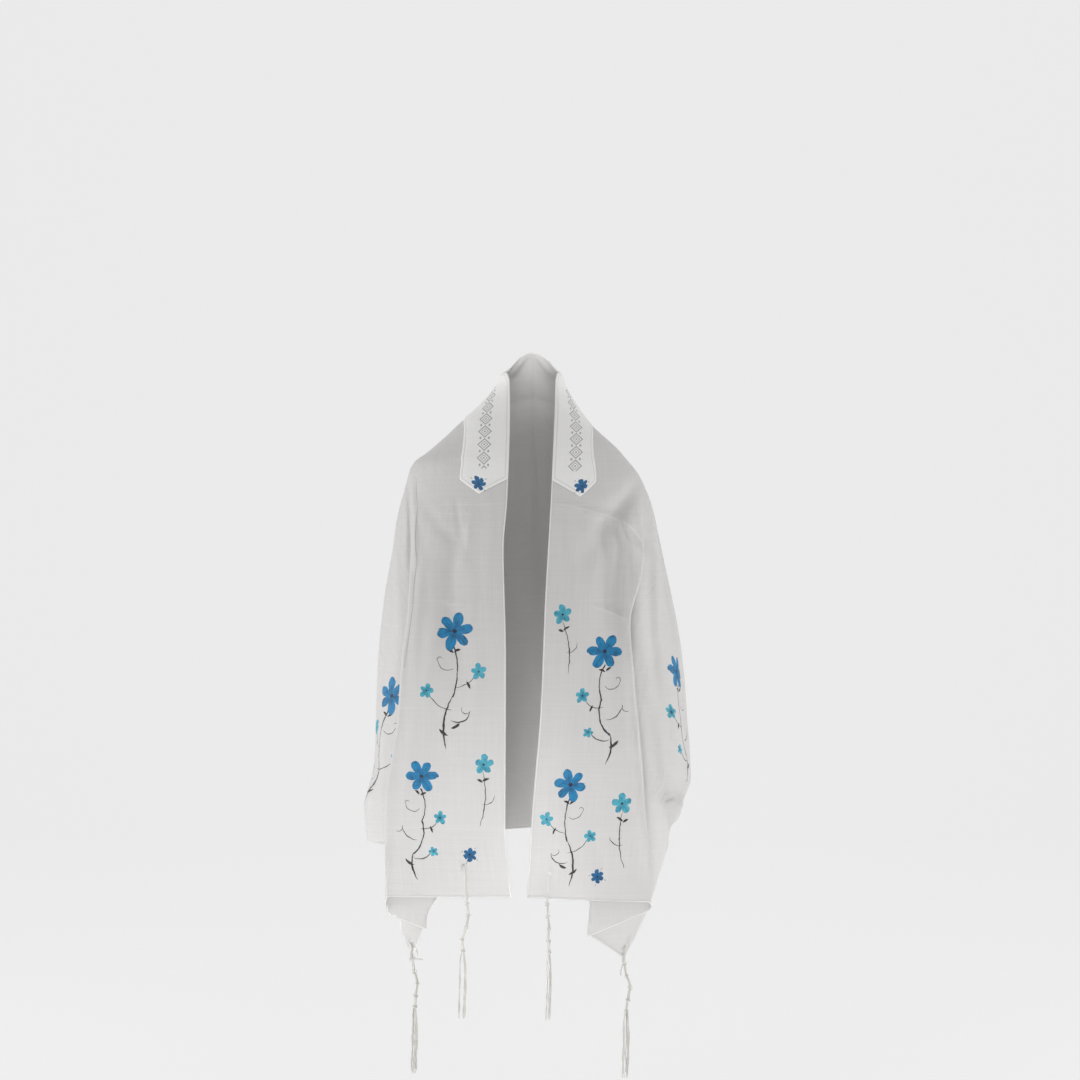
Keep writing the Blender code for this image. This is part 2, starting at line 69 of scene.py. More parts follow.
# One silk rectangle worn over the shoulders, open towards -Y. It runs from one front edge across
# the panel, round a fold, behind the panel, out to the arm and round the back to the other side.
# A drop is a height measured down from the neck edge.
shawl = {
    "wall": 0.0007, "layerGap": 0.011, "squareness": 0.82, "panelFallback": 0.03,
    "napeRise": 0.043, "neckLevel": 0.06, "neckClimb": 1.7,
    "neckRows": 34, "neckShare": 0.16, "neckCrowding": 1.35, "bodyRows": 108, "foldGrowth": 0.35,
    # how far round to the side each place lies once the columns have spread
    "spreadShares": (0.0, 0.58, 0.62, 0.66, 0.7, 1.0),
    "spreadDrop": 0.15,
    # name, length in columns, fine columns
    "stretches": (("panel", 9, 52), ("crest", 4, 8), ("return", 4, 14), ("turn", 4, 7),
                  ("sleeve", 9, 34), ("back", 12, 42)),
    "depth": lengths(
        "drop front back",
        (-45, -30, 60), (0, -36, 78), (60, -58, 100), (160, -94, 124), (280, -116, 132),
        (450, -124, 126), (700, -122, 116), (900, -116, 110), (1020, -112, 108)),
    "width": {
        "left": lengths(
            "drop half",
            (-45, 40), (-8, 43), (4, 51), (24, 61), (66, 99), (87, 124), (118, 157), (139, 183),
            (152, 201), (170, 211), (186, 215), (261, 231), (390, 252), (513, 262), (684, 274),
            (752, 291), (809, 286), (900, 252), (1020, 236)),
        "right": lengths(
            "drop half",
            (-45, 45), (-8, 47), (4, 53), (33, 64), (78, 95), (139, 157), (184, 192), (244, 212),
            (324, 231), (471, 257), (585, 270), (700, 279), (752, 259), (836, 240), (920, 224),
            (1020, 214))},
    "frontEdge": {
        "left": lengths(
            "drop inner",
            (0, 41.2), (15, 37), (70, 36), (220, 40), (302, 46), (490, 42), (770, 43), (890, 33)),
        "right": lengths(
            "drop inner",
            (0, 45.2), (15, 42.5), (70, 41), (228, 34), (385, 25), (574, 17), (734, 4), (890, -6))},
    # the fold's outer crest, the turn behind the panel, and how far the fold has formed
    "fold": {
        "left": lengths(
            "drop crest turn formed",
            (220, 198, 184, 0.0), (340, 201, 160, 0.7), (440, 211, 130, 1.0), (480, 217, 118, 1.0),
            (590, 226, 85, 1.0), (665, 237, 70, 1.0), (720, 246, 65, 1.0), (800, 247, 70, 1.0),
            (890, 247, 155, 1.0), (930, 246, 176, 1.0), (1020, 235, 180, 1.0), plain="formed"),
        "right": lengths(
            "drop crest turn formed",
            (220, 198, 185, 0.0), (328, 187, 150, 0.7), (427, 168, 85, 1.0), (527, 175, 55, 1.0),
            (652, 187, 45, 1.0), (751, 194, 40, 1.0), (802, 199, 48, 1.0), (906, 205, 100, 1.0),
            (960, 200, 96, 1.0), (1020, 190, 96, 1.0), plain="formed")},
    # 0 is the front edge, 1 the panel's end, 2 the crest's, 3 the return's, 4 the turn's, 5 the
    # sleeve's and 6 the middle of the back
    "lowerEdge": {
        "left": lengths(
            "place drop",
            (0.0, 890), (1.0, 893), (2.0, 926), (3.0, 948), (4.0, 950), (4.17, 984), (4.34, 995),
            (4.5, 980), (4.64, 950), (4.77, 811), (5.0, 811), (5.5, 806), (6.0, 806), plain="place"),
        "right": lengths(
            "place drop",
            (0.0, 890), (1.0, 902), (2.0, 920), (3.0, 958), (4.0, 961), (4.5, 1001), (4.64, 972),
            (4.77, 936), (4.87, 893), (4.94, 845), (5.0, 768), (5.4, 800), (6.0, 806), plain="place")},
    "backFolds": lengths(
        "middle spread rise start",
        (-212, 22, 13, 220), (-160, 26, -14, 260), (-104, 21, 16, 340), (-50, 26, -12, 300),
        (6, 22, 13, 420), (62, 27, -14, 280), (122, 22, 17, 300), (182, 26, -12, 200)),
}
shawl["columns"] = sum(count for _, count, _ in shawl["stretches"])

# Creases, listed one by one. Zones 0 and 1 are the left and right front panels and 3 and 4 the sleeves'
# fronts, all by the distance from the middle plane; 2 is the back, by the distance along the cloth
# from its middle, right is plus. A plus rise is a ridge.
creases = lengths(
    "zone across drop across2 drop2 bow width rise",
    # left front
    (0, 206, 172, 196.5, 330, -2, 5, 3),
    (0, 212.5, 180, 203.5, 330, -2, 4.5, -4.4),
    (0, 170, 243, 119, 300, 4, 10, -1.8),
    (0, 126, 228, 111, 300, 2, 5, -1.4),
    (0, 104, 262, 120, 338, -3, 6, 1.2),
    (0, 128, 290, 134, 490, 6, 20, -6),
    (0, 152, 389, 96, 400, 2, 5, 1.5),
    (0, 158, 400, 166, 600, 4, 14, 3.4),
    (0, 70, 240, 64, 460, 4, 12, 1.2),
    (0, 184, 330, 196, 590, 4, 9, 1.8),
    (0, 100, 420, 104, 660, -8, 14, 1.4),
    (0, 160, 470, 150, 690, 6, 12, -1.8),
    (0, 72, 560, 66, 880, 6, 13, -1.4),
    (0, 120, 640, 132, 890, -6, 12, 1.8),
    (0, 200, 600, 214, 890, 5, 10, 2),
    (0, 178, 700, 184, 890, -3, 9, -1.6),
    # right front: the long crease to the armpit, the hollow under it and its fine folds
    (1, 34, 228, 113, 245, 2, 5.5, 1.6),
    (1, 100, 241, 160, 261, 1, 6, 4),
    (1, 152, 258, 190, 312, -6, 6.5, 5.8),
    (1, 124, 284, 130, 445, 4, 17, -11),
    (1, 150, 276, 152, 470, 4, 13, -12.5),
    (1, 180, 196, 108, 300, -4, 15, -7.5),
    (1, 157, 335, 159, 410, 1, 3.6, 1.6),
    (1, 169, 330, 163, 440, 2, 3.8, 1.8),
    (1, 108, 401, 160, 424, 2, 5, 2.6),
    (1, 70, 260, 60, 540, 8, 14, 1.6),
    (1, 128, 440, 134, 640, 6, 12, -2),
    (1, 150, 440, 160, 600, 2, 8, 2),
    (1, 166, 560, 180, 760, 2, 10, -2.4),
    (1, 60, 620, 66, 880, 6, 13, 1.6),
    (1, 110, 660, 120, 890, -6, 12, -1.6),
    (1, 168, 720, 178, 895, 4, 10, 2),
    # back
    (2, -20, 20, -80, 330, 20, 16, 3),
    (2, 30, 30, 100, 300, -20, 15, 2.6),
    (2, -110, 90, -190, 420, -18, 16, -3.4),
    (2, 120, 80, 170, 400, 16, 15, -3.2),
    (2, 0, 140, -14, 520, 8, 14, -2.4),
    (2, -150, 140, -60, 230, 12, 12, 2),
    (2, 170, 150, 70, 240, -12, 12, 2),
    (2, -250, 330, -230, 700, 10, 14, 3.6),
    (2, 235, 300, 255, 640, -10, 14, 3.4),
    (2, -75, 450, -85, 800, 6, 12, -3),
    (2, 90, 420, 80, 800, -8, 12, 2.8),
    (2, 150, 500, 165, 800, 6, 11, -2.8),
    (2, -180, 560, -195, 800, 6, 10, 2.6),
    # the outer sides of the sleeves
    (2, 315, 260, 330, 700, 6, 12, 3.2),
    (2, 350, 360, 362, 800, -6, 10, -3),
    (2, 295, 480, 300, 800, 6, 12, -2.8),
    (2, -320, 240, -332, 640, -6, 12, 3.2),
    (2, -352, 380, -368, 800, 6, 10, -3),
    (2, -290, 450, -300, 790, -6, 12, -2.6),
    # the nape: a pressed line down the middle and a fold towards each corner
    (2, 0, -42, 1, 60, 1, 4, -1.6),
    (2, -12, -34, -52, -4, 4, 6, -2.4),
    (2, 14, -32, 50, -6, -4, 6, -2.6),
    # left sleeve
    (3, 224, 190, 226, 420, 4, 7, 3),
    (3, 232, 330, 248, 620, 3, 6, -2.6),
    (3, 240, 470, 256, 740, 4, 7, 3),
    (3, 268, 620, 280, 800, 3, 6, 2.6),
    # right sleeve: the two short creases and the pocket fold over the hand
    (4, 204, 220, 216, 440, 4, 8, 3.4),
    (4, 202, 350, 220, 560, -4, 7, -3),
    (4, 206, 501, 228, 525, 2, 4.5, 2.4),
    (4, 186, 540, 206, 562, 2, 4.5, 2.2),
    (4, 240, 520, 252, 680, 3, 8, 3),
    (4, 212, 700, 256, 742, -4, 6, 9),
    (4, 228, 728, 246, 800, 2, 8, -8),
    (4, 205, 600, 218, 760, 2, 7, -2.6), plain="zone")
# the small unevenness between the creases: its rise, its scale and how much of the scale runs upward
ripple = {"broad": (0.0011, 17.0, 0.45), "fine": (0.00035, 60.0, 0.6)}


def follow(rows, name, at):
    # smooth between a table's rows and never past the rows either side
    keys = rows["place"] if "place" in rows else rows["drop"]
    values = rows[name]
    steps = np.diff(keys)
    rises = np.diff(values) / steps
    before, after = rises[:-1], rises[1:]
    level = before * after <= 0
    slopes = np.empty(len(keys))
    slopes[0], slopes[-1] = rises[0], rises[-1]
    slopes[1:-1] = np.where(level, 0, 2 * before * after / np.where(level, 1, before + after))
    at = np.clip(at, keys[0], keys[-1])
    row = np.clip(np.searchsorted(keys, at, side="right") - 1, 0, len(keys) - 2)
    t = (at - keys[row]) / steps[row]
    lift = (slopes[row] * (1 - t) - slopes[row + 1] * t) * steps[row] * t * (1 - t)
    return values[row] + (values[row + 1] - values[row]) * t * t * (3 - 2 * t) + lift


def startAngle(side, drop):
    inner = follow(shawl["frontEdge"][side], "inner", drop)
    ratio = inner / follow(shawl["width"][side], "half", drop)
    return np.arcsin(np.clip(ratio, 0.02, 0.98) ** (1 / shawl["squareness"]))


def smoothAngle(side, column, drop):
    # even at the neck; lower down the fold's columns lie close together
    start = startAngle(side, drop)
    place = placeOf(column)
    even = start + (math.pi - start) * column / shawl["columns"]
    toSide = start + (math.pi / 2 - start) * np.interp(place, range(6), shawl["spreadShares"])
    spread = np.where(place < 5, toSide, math.pi / 2 * (place - 4))
    return even + (spread - even) * smoothStep(drop / shawl["spreadDrop"])


def smoothShoulder(side, angle, drop):
    half = follow(shawl["width"][side], "half", drop)
    x = half * np.maximum(np.sin(angle), 0) ** shawl["squareness"]
    reach = np.where(np.cos(angle) > 0, follow(shawl["depth"], "front", drop),
                     follow(shawl["depth"], "back", drop))
    return x, reach * np.abs(np.cos(angle)) ** shawl["squareness"]


def hangingFold(side, place, drop):
    half = follow(shawl["width"][side], "half", drop)
    inner = follow(shawl["frontEdge"][side], "inner", drop)
    front = follow(shawl["depth"], "front", drop)
    back = follow(shawl["depth"], "back", drop)
    gap = shawl["layerGap"]
    radius = gap / 2
    crest = follow(shawl["fold"][side], "crest", drop) - radius
    turn = np.minimum(follow(shawl["fold"][side], "turn", drop), crest - radius) + radius

    def panel(x):
        return front + shawl["panelFallback"] * (x / half) ** 2

    stretch = np.minimum(place.astype(int), 5)
    t = place - stretch
    round1, round2 = math.pi * t, math.pi / 2 * t
    sleeveX = turn + (half - turn) * t
    sleeveY = np.maximum(panel(turn), panel(sleeveX)) + 2 * gap
    xs = (inner + (crest - inner) * t,
          crest + radius * np.sin(round1),
          crest + (turn - crest) * t,
          turn - radius * np.sin(round1),
          sleeveX,
          half * np.maximum(np.cos(round2), 0) ** shawl["squareness"])
    ys = (panel(xs[0]),
          panel(crest) + radius * (1 - np.cos(round1)),
          panel(xs[2]) + gap,
          panel(turn) + gap + radius * (1 - np.cos(round1)),
          sleeveY * np.sqrt(np.maximum(1 - np.minimum(t, 1) ** 3, 0)),
          back * np.sin(round2) ** shawl["squareness"])
    return np.choose(stretch, xs), np.choose(stretch, ys)


def placeOf(column):
    place = np.zeros_like(column)
    passed = 0
    for name, count, _ in shawl["stretches"]:
        t = np.clip((column - passed) / count, 0, 1)
        place += np.sin(math.pi / 2 * t) if name == "sleeve" else t
        passed += count
    return place


def columnOf(place):
    stretch = min(int(place), 5)
    t = place - stretch
    if shawl["stretches"][stretch][0] == "sleeve":
        t = math.asin(t) / (math.pi / 2)
    return sum(s[1] for s in shawl["stretches"][:stretch]) + t * shawl["stretches"][stretch][1]


def clothPoints(side, column, drop):
    column, drop = np.broadcast_arrays(np.asarray(column, float), np.asarray(drop, float))
    formed = follow(shawl["fold"][side], "formed", drop)
    x, y = smoothShoulder(side, smoothAngle(side, column, drop), drop)
    foldX, foldY = hangingFold(side, placeOf(column), drop)
    x, y = x + (foldX - x) * formed, y + (foldY - y) * formed
    if side == "left":
        x = -x
    push = np.zeros_like(x)
    for middle, spread, rise, start in zip(*shawl["backFolds"].values()):
        begun = smoothStep((drop - start) / shawl["foldGrowth"])
        push += rise * begun * np.exp(-((x - middle) / spread) ** 2)
    y = y + np.where(y > 0, push * np.minimum(y / follow(shawl["depth"], "back", drop), 1), 0)
    return np.stack((x, y, -drop), axis=-1)


def neckDrop(column):
    behind = np.maximum(column / shawl["columns"] - shawl["neckLevel"], 0) / (1 - shawl["neckLevel"])
    return -shawl["napeRise"] * (1 - np.maximum(np.cos(math.pi / 2 * behind), 0) ** shawl["neckClimb"])


def lowerDrop(side, column):
    edge = shawl["lowerEdge"][side]
    return np.interp(placeOf(np.asarray(column, float)), edge["place"], edge["drop"])


def rowShares():
    neck, body = shawl["neckRows"], shawl["bodyRows"]
    crowded = shawl["neckShare"] * (np.arange(neck) / neck) ** shawl["neckCrowding"]
    even = shawl["neckShare"] + (1 - shawl["neckShare"]) * np.arange(body + 1) / body
    return np.concatenate((crowded, even))


def fineColumns():
    columns, passed = [], 0.0
    for _, count, fine in shawl["stretches"]:
        columns += [passed + count * i / fine for i in range(fine)]
        passed += count
    return np.array(columns + [passed])


def surfaceNormals(points):
    return unit(np.cross(np.gradient(points, axis=0), np.gradient(points, axis=1)))


def clothGrid():
    # both sides as one grid of columns by rows, with distances along the cloth
    halves = []
    for side, sign in (("left", 1), ("right", -1)):
        column, share = np.meshgrid(fineColumns(), rowShares(), indexing="ij")
        top, bottom = neckDrop(column), lowerDrop(side, column)
        drop = top + (bottom - top) * share
        points = clothPoints(side, column, drop)
        arc = distanceAlong(points)
        halves.append((points, drop, arc, (arc - arc[-1]) * sign, placeOf(column)))
    joined = [np.concatenate((left, right[-2::-1])) for left, right in zip(*halves)]
    grid = dict(zip(("points", "drop", "front", "back", "place"), joined))
    grid["isRight"] = np.arange(len(joined[0]))[:, None] >= len(halves[0][0])
    return grid


# a crease's form by its own width: wider towards its lower end, with a shallow trough beside it
creaseForm = {"narrow": 0.75, "widening": 0.5, "overrun": 2.5, "troughDepth": 0.45, "troughAt": 1.9,
              "troughWidth": 1.5}


def creaseRise(grid):
    # how far every point stands out for the creases; a panel's move all its layers together
    outward, forward = np.zeros(grid["drop"].shape), np.zeros(grid["drop"].shape)
    drop, isRight = grid["drop"], grid["isRight"]
    x, y = grid["points"][..., 0], grid["points"][..., 1]
    allLayers = np.clip(-y / 0.03, 0, 1)
    onSleeve = np.where(grid["place"] >= 4, 1, np.clip((0.26 - drop) / 0.04, 0, 1)) * (y < -0.004)
    distances = (-x, x, grid["back"], -x, x)
    weights = (allLayers * ~isRight, allLayers * isRight, 1.0, onSleeve * ~isRight, onSleeve * isRight)
    for zone, a, d, a2, d2, bow, width, rise in zip(*creases.values()):
        along = np.array((a2 - a, d2 - d))
        length = float(np.hypot(*along))
        along /= length
        across = distances[int(zone)]
        u = (across - a) * along[0] + (drop - d) * along[1]
        v = (across - a) * along[1] - (drop - d) * along[0]
        t = np.clip(u / length, 0, 1)
        v = (v - bow * np.sin(math.pi * t)) / (width * (creaseForm["narrow"] + creaseForm["widening"] * t))
        beyond = np.maximum(np.maximum(-u, u - length), 0) / (creaseForm["overrun"] * width)
        fade = np.sin(math.pi * (0.12 + 0.76 * t)) ** 0.7 * np.exp(-beyond ** 2)
        beside = (v - creaseForm["troughAt"]) / creaseForm["troughWidth"]
        shape = np.exp(-v * v) - creaseForm["troughDepth"] * np.exp(-beside ** 2)
        moved = forward if zone < 2 else outward
        moved += rise * fade * shape * weights[int(zone)]
    return outward, forward


def unevenness(grid):
    flat = grid["points"].reshape(-1, 3)

    def ruffle(size, scale, upright):
        return np.array([size * noise.noise(Vector((x, y, z * upright)) * scale) for x, y, z in flat])

    return (ruffle(*ripple["broad"]) + ruffle(*ripple["fine"])).reshape(grid["drop"].shape)


def dressedGrid():
    grid = clothGrid()
    out = surfaceNormals(grid["points"])
    atNeck = np.clip((grid["drop"] + 0.005) / 0.05, 0.15, 1)
    outward, forward = creaseRise(grid)
    outward = outward + unevenness(grid) * atNeck
    grid["points"] = grid["points"] + out * outward[..., None] + forward[..., None] * np.array((0, -1.0, 0))
    grid["normals"] = surfaceNormals(grid["points"])
    return grid


def newObject(name, mesh, mend):
    # a new piece, selected, after one mending step on its whole mesh
    piece = bpy.data.objects.new(name, mesh)
    bpy.context.scene.collection.objects.link(piece)
    bpy.ops.object.select_all(action="DESELECT")
    piece.select_set(True)
    bpy.context.view_layer.objects.active = piece
    bpy.ops.object.mode_set(mode="EDIT")
    bpy.ops.mesh.select_all(action="SELECT")
    mend()
    bpy.ops.object.mode_set(mode="OBJECT")
    return piece


def addMap(mesh, name, corners):
    # a UV map from one place for each face corner
    mesh.uv_layers.new(name=name)
    mesh.uv_layers[name].data.foreach_set("uv", corners.astype(np.float32).ravel())


def gridSheet(name, points, cut, leftOut, motif):
    # one wall through a grid of points, with the flat cut in metres as its UV
    columns, rows = points.shape[:2]
    index = np.arange(columns * rows).reshape(columns, rows)
    faces = np.stack((index[:-1, :-1], index[:-1, 1:], index[1:, 1:], index[1:, :-1]), axis=-1)
    keep = np.ones(faces.shape[:2], bool)
    for i, j in leftOut:
        keep[i - 1:i + 1, j - 1:j + 1] = False
    faces = faces[keep]
    mesh = bpy.data.meshes.new(name)
    mesh.from_pydata(points.reshape(-1, 3).tolist(), [], faces.tolist())
    addMap(mesh, "cut", cut.reshape(-1, 2)[faces])
    addMap(mesh, "motif", motif(faces))
    return newObject(name, mesh, bpy.ops.mesh.delete_loose)


def thicken(piece, wall):
    shell = piece.modifiers.new("wall", "SOLIDIFY")
    shell.thickness = wall
    shell.offset = 0.0
    bpy.ops.object.modifier_apply(modifier=shell.name)
    bpy.ops.object.shade_smooth()


# Sprays of painted flowers, laid out on the cloth's own flat cut.
# kind, zone (0 left end, 1 right end, 2 from the middle of the back), distance across, drop of the
# flower, turn in degrees, size, and which way it leans
sprays = table(
    "kind zone across drop turn size lean",
    (0, 0, 0.086, 0.446, -4, 0.98, 1),
    (3, 0, 0.142, 0.69, 5, 0.86, -1),
    (1, 0, 0.036, 0.668, -6, 1.05, 1),
    (2, 0, 0.062, 0.818, 10, 1.1, 1),
    (3, 1, 0.104, 0.48, 4, 0.92, 1),
    (0, 1, 0.06, 0.704, -3, 0.84, -1),
    (1, 1, 0.03, 0.416, 5, 1.0, 1),
    (1, 1, 0.15, 0.735, -8, 1.1, -1),
    (2, 1, 0.116, 0.856, 25, 1.1, 1),
    (0, 2, -0.395, 0.56, 6, 0.95, 1),
    (3, 2, 0.384, 0.52, -8, 0.95, -1),
)
motifRoom = ((-0.062, 0.062, -0.208, 0.046), (-0.026, 0.03, -0.11, 0.026), (-0.018, 0.018, -0.018, 0.018),
             (-0.062, 0.056, -0.208, 0.046))
motifStep = 10.0       # how far apart the kinds lie in the motif map
nowhere = -5.0
cutRight = 2.2         # where the right end's front edge lies in the flat map
brushShake = 0.0042
sleeveFrom = 3.2        # places past this hang behind the panel and on the sleeve


def motifMap(grid):
    # a second UV for each face corner: where it is in the spray that covers the face
    across = {0: -grid["front"].ravel(), 1: grid["front"].ravel(), 2: grid["back"].ravel()}
    drop = grid["drop"].ravel()
    isRight = np.broadcast_to(grid["isRight"], grid["drop"].shape).ravel()
    place = grid["place"].ravel()

    def corners(faces):
        uv = np.full((*faces.shape, 2), nowhere)
        for kind, zone, a, d, turn, size, lean in zip(*sprays.values()):
            centre = -a if zone == 0 else a
            dx, dy = (across[int(zone)] - centre) * lean / size, (d - drop) / size
            c, s = math.cos(math.radians(turn)), math.sin(math.radians(turn))
            x, y = dx * c + dy * s, dy * c - dx * s
            left, right, low, high = motifRoom[int(kind)]
            fx, fy = x[faces].mean(axis=1), y[faces].mean(axis=1)
            inside = (fx > left) & (fx < right) & (fy > low) & (fy < high)
            if zone == 2:
                inside &= place[faces].min(axis=1) >= sleeveFrom
            else:
                inside &= isRight[faces].min(axis=1) == (zone == 1)
                inside &= place[faces].max(axis=1) < sleeveFrom
            uv[inside] = np.stack((x[faces] + kind * motifStep, y[faces]), axis=-1)[inside]
        return uv
    return corners


# every stroke: from, to, bulge, width; in millimetres in the spray's own space, y up; then taper
tallStrokes = (
    (0, -22, 4, -110, 7, 1.13, -0.5),
    (4, -108, 0, -200, -10, 2, 0.7),
    (2, -60, -26, -50, 9, 0.85, 0.3),
    (-26, -50, -19, -45, 5.5, 0.75, 0.3),
    (8, -92, 41, -66, -6, 0.92, 0.5),
    (4, -132, -37, -106, 7, 1.01, 0.5),
    (3, -150, 36, -130, -11, 1.43, 0.7),
    (36, -130, 22, -124, 9, 0.76, 0.3),
    (0, -34, 13, -27, 1.5, 2.5, 1.0),
    (0, -35, -12, -29, -1.5, 2.4, 1.0),
    (4, -162, 21, -153, -2, 2.9, 1.0),
    (2, -176, -16, -165, 2, 2.8, 1.0),
    (26, -79, 33, -94, 1, 2.2, 1.0),
)
smallStrokes = (
    (0, -10, 4, -98, 6, 1.01, 0.5),
    (0, -26, 11, -19, 1, 2.2, 1.0),
    (1, -28, -9, -23, -1, 2.1, 1.0),
    (4, -62, 22, -46, -6, 0.84, 0.6),
)
bentStrokes = (
    (0, -20, -8, -85, -8, 1.09, -0.5),
    (-8, -83, 6, -150, -12, 1.39, -0.3),
    (6, -149, -2, -202, 6, 2, 0.7),
    (-2, -60, 26, -54, -9, 0.85, 0.3),
    (26, -54, 19, -48, -5.5, 0.75, 0.3),
    (-7, -98, -40, -78, 8, 1.01, 0.5),
    (-1, -122, 30, -96, -8, 1.09, 0.5),
    (30, -96, 41, -108, -6, 0.8, 0.3),
    (6, -158, -30, -140, 9, 1.26, 0.6),
    (0, -33, 12, -26, 1.5, 2.5, 1.0),
    (-1, -34, -13, -28, -1.5, 2.4, 1.0),
    (3, -172, 22, -160, -3, 3, 1.0),
    (-24, -92, -31, -106, -1, 2.3, 1.0),
)
speckStrokes = (
    (9, 6, 12.5, 9, 0.4, 0.6, 1.0),
    (-9, 7, -13, 6, 0.4, 0.6, 1.0),
    (-6, -10, -9.5, -12, 0.4, 0.6, 1.0),
    (7, -9, 9.5, -12, 0.4, 0.6, 1.0),
)


def connect(tree, value, socket):
    # sets a socket to a number, a vector or a colour, or links it
    if isinstance(value, bpy.types.NodeSocket):
        tree.links.new(value, socket)
    else:
        socket.default_value = (*value, 1.0) if socket.type == "RGBA" else value


def addNode(tree, kind, **inputs):
    # a node with some of its inputs given; gives back its first result
    node = tree.nodes.new("ShaderNode" + kind)
    for label, value in inputs.items():
        connect(tree, value, node.inputs[label])
    return node.outputs[0]


def uvMap(tree, name):
    place = addNode(tree, "UVMap")
    place.node.uv_map = name
    return place


def parts(tree, vector):
    return addNode(tree, "SeparateXYZ", Vector=vector).node.outputs[:]


def maths(tree):
    # short sums for a tree: each call adds a node and gives back its result
    signs = {"+": "ADD", "-": "SUBTRACT", "*": "MULTIPLY", "/": "DIVIDE"}

    def do(sign, *values):
        result = addNode(tree, "Math")
        result.node.operation = signs.get(sign, sign)
        for value, socket in zip(values, result.node.inputs):
            connect(tree, value, socket)
        return result
    return do


def clamped(result):
    result.node.use_clamp = True
    return result


def passing(do, high, low, soft):
    # rises from 0 to 1 as high passes low
    return clamped(do("/", do("-", high, low), soft))


def distance(do, dx, dy):
    return do("SQRT", do("+", do("*", dx, dx), do("*", dy, dy)))


def strongest(do, masks):
    return reduce(lambda first, second: do("MAXIMUM", first, second), masks)


def mixColour(tree, factor, first, second):
    node = tree.nodes.new("ShaderNodeMix")
    node.data_type = "RGBA"
    for socket, value in ((node.inputs["Factor"], factor), (node.inputs[6], first), (node.inputs[7], second)):
        connect(tree, value, socket)
    return node.outputs[2]


def nodeGroup(name, inputs, outputs):
    tree = bpy.data.node_groups.new(name, "ShaderNodeTree")
    for way, labels in (("INPUT", inputs), ("OUTPUT", outputs)):
        for label in labels.split():
            tree.interface.new_socket(label, in_out=way, socket_type="NodeSocketFloat")
    start, end = tree.nodes.new("NodeGroupInput"), tree.nodes.new("NodeGroupOutput")
    return tree, start.outputs, end.inputs


def useGroup(tree, group, **values):
    node = tree.nodes.new("ShaderNodeGroup")
    node.node_tree = group
    for label, value in values.items():
        connect(tree, value, node.inputs[label])
    return node.outputs


def strokeGroup():
    # a brush stroke along an arc: its centre, radius, middle direction, opening and width
    tree, given, result = nodeGroup(
        "brushStroke", "x y centreX centreY radius towardsX towardsY opening width taper soft", "mask")
    do = maths(tree)
    dx, dy = do("-", given["x"], given["centreX"]), do("-", given["y"], given["centreY"])
    away = distance(do, dx, dy)
    facing = do("+", do("*", dx, given["towardsX"]), do("*", dy, given["towardsY"]))
    turned = do("/", do("-", 1.0, do("/", facing, away)), given["opening"])
    slim = do("-", 1.0, do("*", given["taper"], do("MINIMUM", turned, 1.0)))
    off = do("ABSOLUTE", do("-", away, given["radius"]))
    inLine = passing(do, do("*", given["width"], slim), off, given["soft"])
    tree.links.new(do("*", inLine, passing(do, 1.02, turned, 0.04)), result["mask"])
    return tree


def strokeValues(x0, y0, x1, y1, bulge, width, taper, soft=0.4):
    # the circle through both ends of a stroke whose middle stands out by bulge, from millimetres
    x0, y0, x1, y1, bulge, width, soft = [length / 1000 for length in (x0, y0, x1, y1, bulge, width, soft)]
    start, end = Vector((x0, y0)), Vector((x1, y1))
    chord = end - start
    side = Vector((-chord.y, chord.x)).normalized() * (1 if bulge > 0 else -1)
    radius = (chord.length ** 2 / 4 + bulge * bulge) / (2 * abs(bulge))
    centre = (start + end) / 2 + side * (abs(bulge) - radius)
    opening = 1 - (start - centre).normalized().dot(side)
    return {"centreX": centre.x, "centreY": centre.y, "radius": radius, "towardsX": side.x,
            "towardsY": side.y, "opening": opening, "width": width, "taper": taper, "soft": soft}


def blossomGroup():
    # rounded petals in a ring; tone is how dark the brush left the paint
    tree, given, result = nodeGroup(
        "blossom", "x y centreX centreY radius turn petals valley", "mask tone heart")
    do = maths(tree)
    dx, dy = do("-", given["x"], given["centreX"]), do("-", given["y"], given["centreY"])
    share = do("/", distance(do, dx, dy), given["radius"])
    turns = do("+", do("*", do("/", do("ARCTAN2", dy, dx), 2 * math.pi), given["petals"]), given["turn"])
    number = do("FLOOR", turns)
    across = do("-", do("-", turns, number), 0.5)
    fromMiddle = do("*", do("ABSOLUTE", across), 2.0)
    petal = do("+", 0.95, do("*", do("SINE", do("*", number, 2.39)), 0.06))
    dip = do("*", do("-", 1.0, given["valley"]), do("POWER", fromMiddle, 2.1))
    within = do("-", do("*", petal, do("-", 1.0, dip)), share)
    place = addNode(tree, "CombineXYZ", X=do("*", across, 5.0), Y=do("*", share, 0.8), Z=number)
    bristles = addNode(tree, "TexNoise", Vector=place, Scale=3.6, Detail=2.0)
    spot = addNode(tree, "CombineXYZ", X=given["x"], Y=given["y"])
    wash = addNode(tree, "TexNoise", Vector=spot, Scale=75.0, Detail=1.0)
    rim = clamped(do("-", 1.0, do("/", within, 0.1)))
    vein = clamped(do("-", 1.0, do("*", fromMiddle, 4.5)))
    vein = do("*", do("*", vein, 0.55), do("-", 1.0, do("*", share, 0.8)))
    inner = clamped(do("-", 1.0, do("*", share, 1.7)))
    tone = do("+", do("+", do("*", rim, 0.42), vein), do("*", inner, 0.3))
    tone = do("+", tone, do("*", do("-", bristles, 0.46), 2.2))
    tone = clamped(do("+", tone, do("*", do("-", wash, 0.46), 2.0)))
    tree.links.new(clamped(do("/", within, 0.025)), result["mask"])
    tree.links.new(tone, result["tone"])
    tree.links.new(passing(do, 0.13, share, 0.04), result["heart"])
    return tree


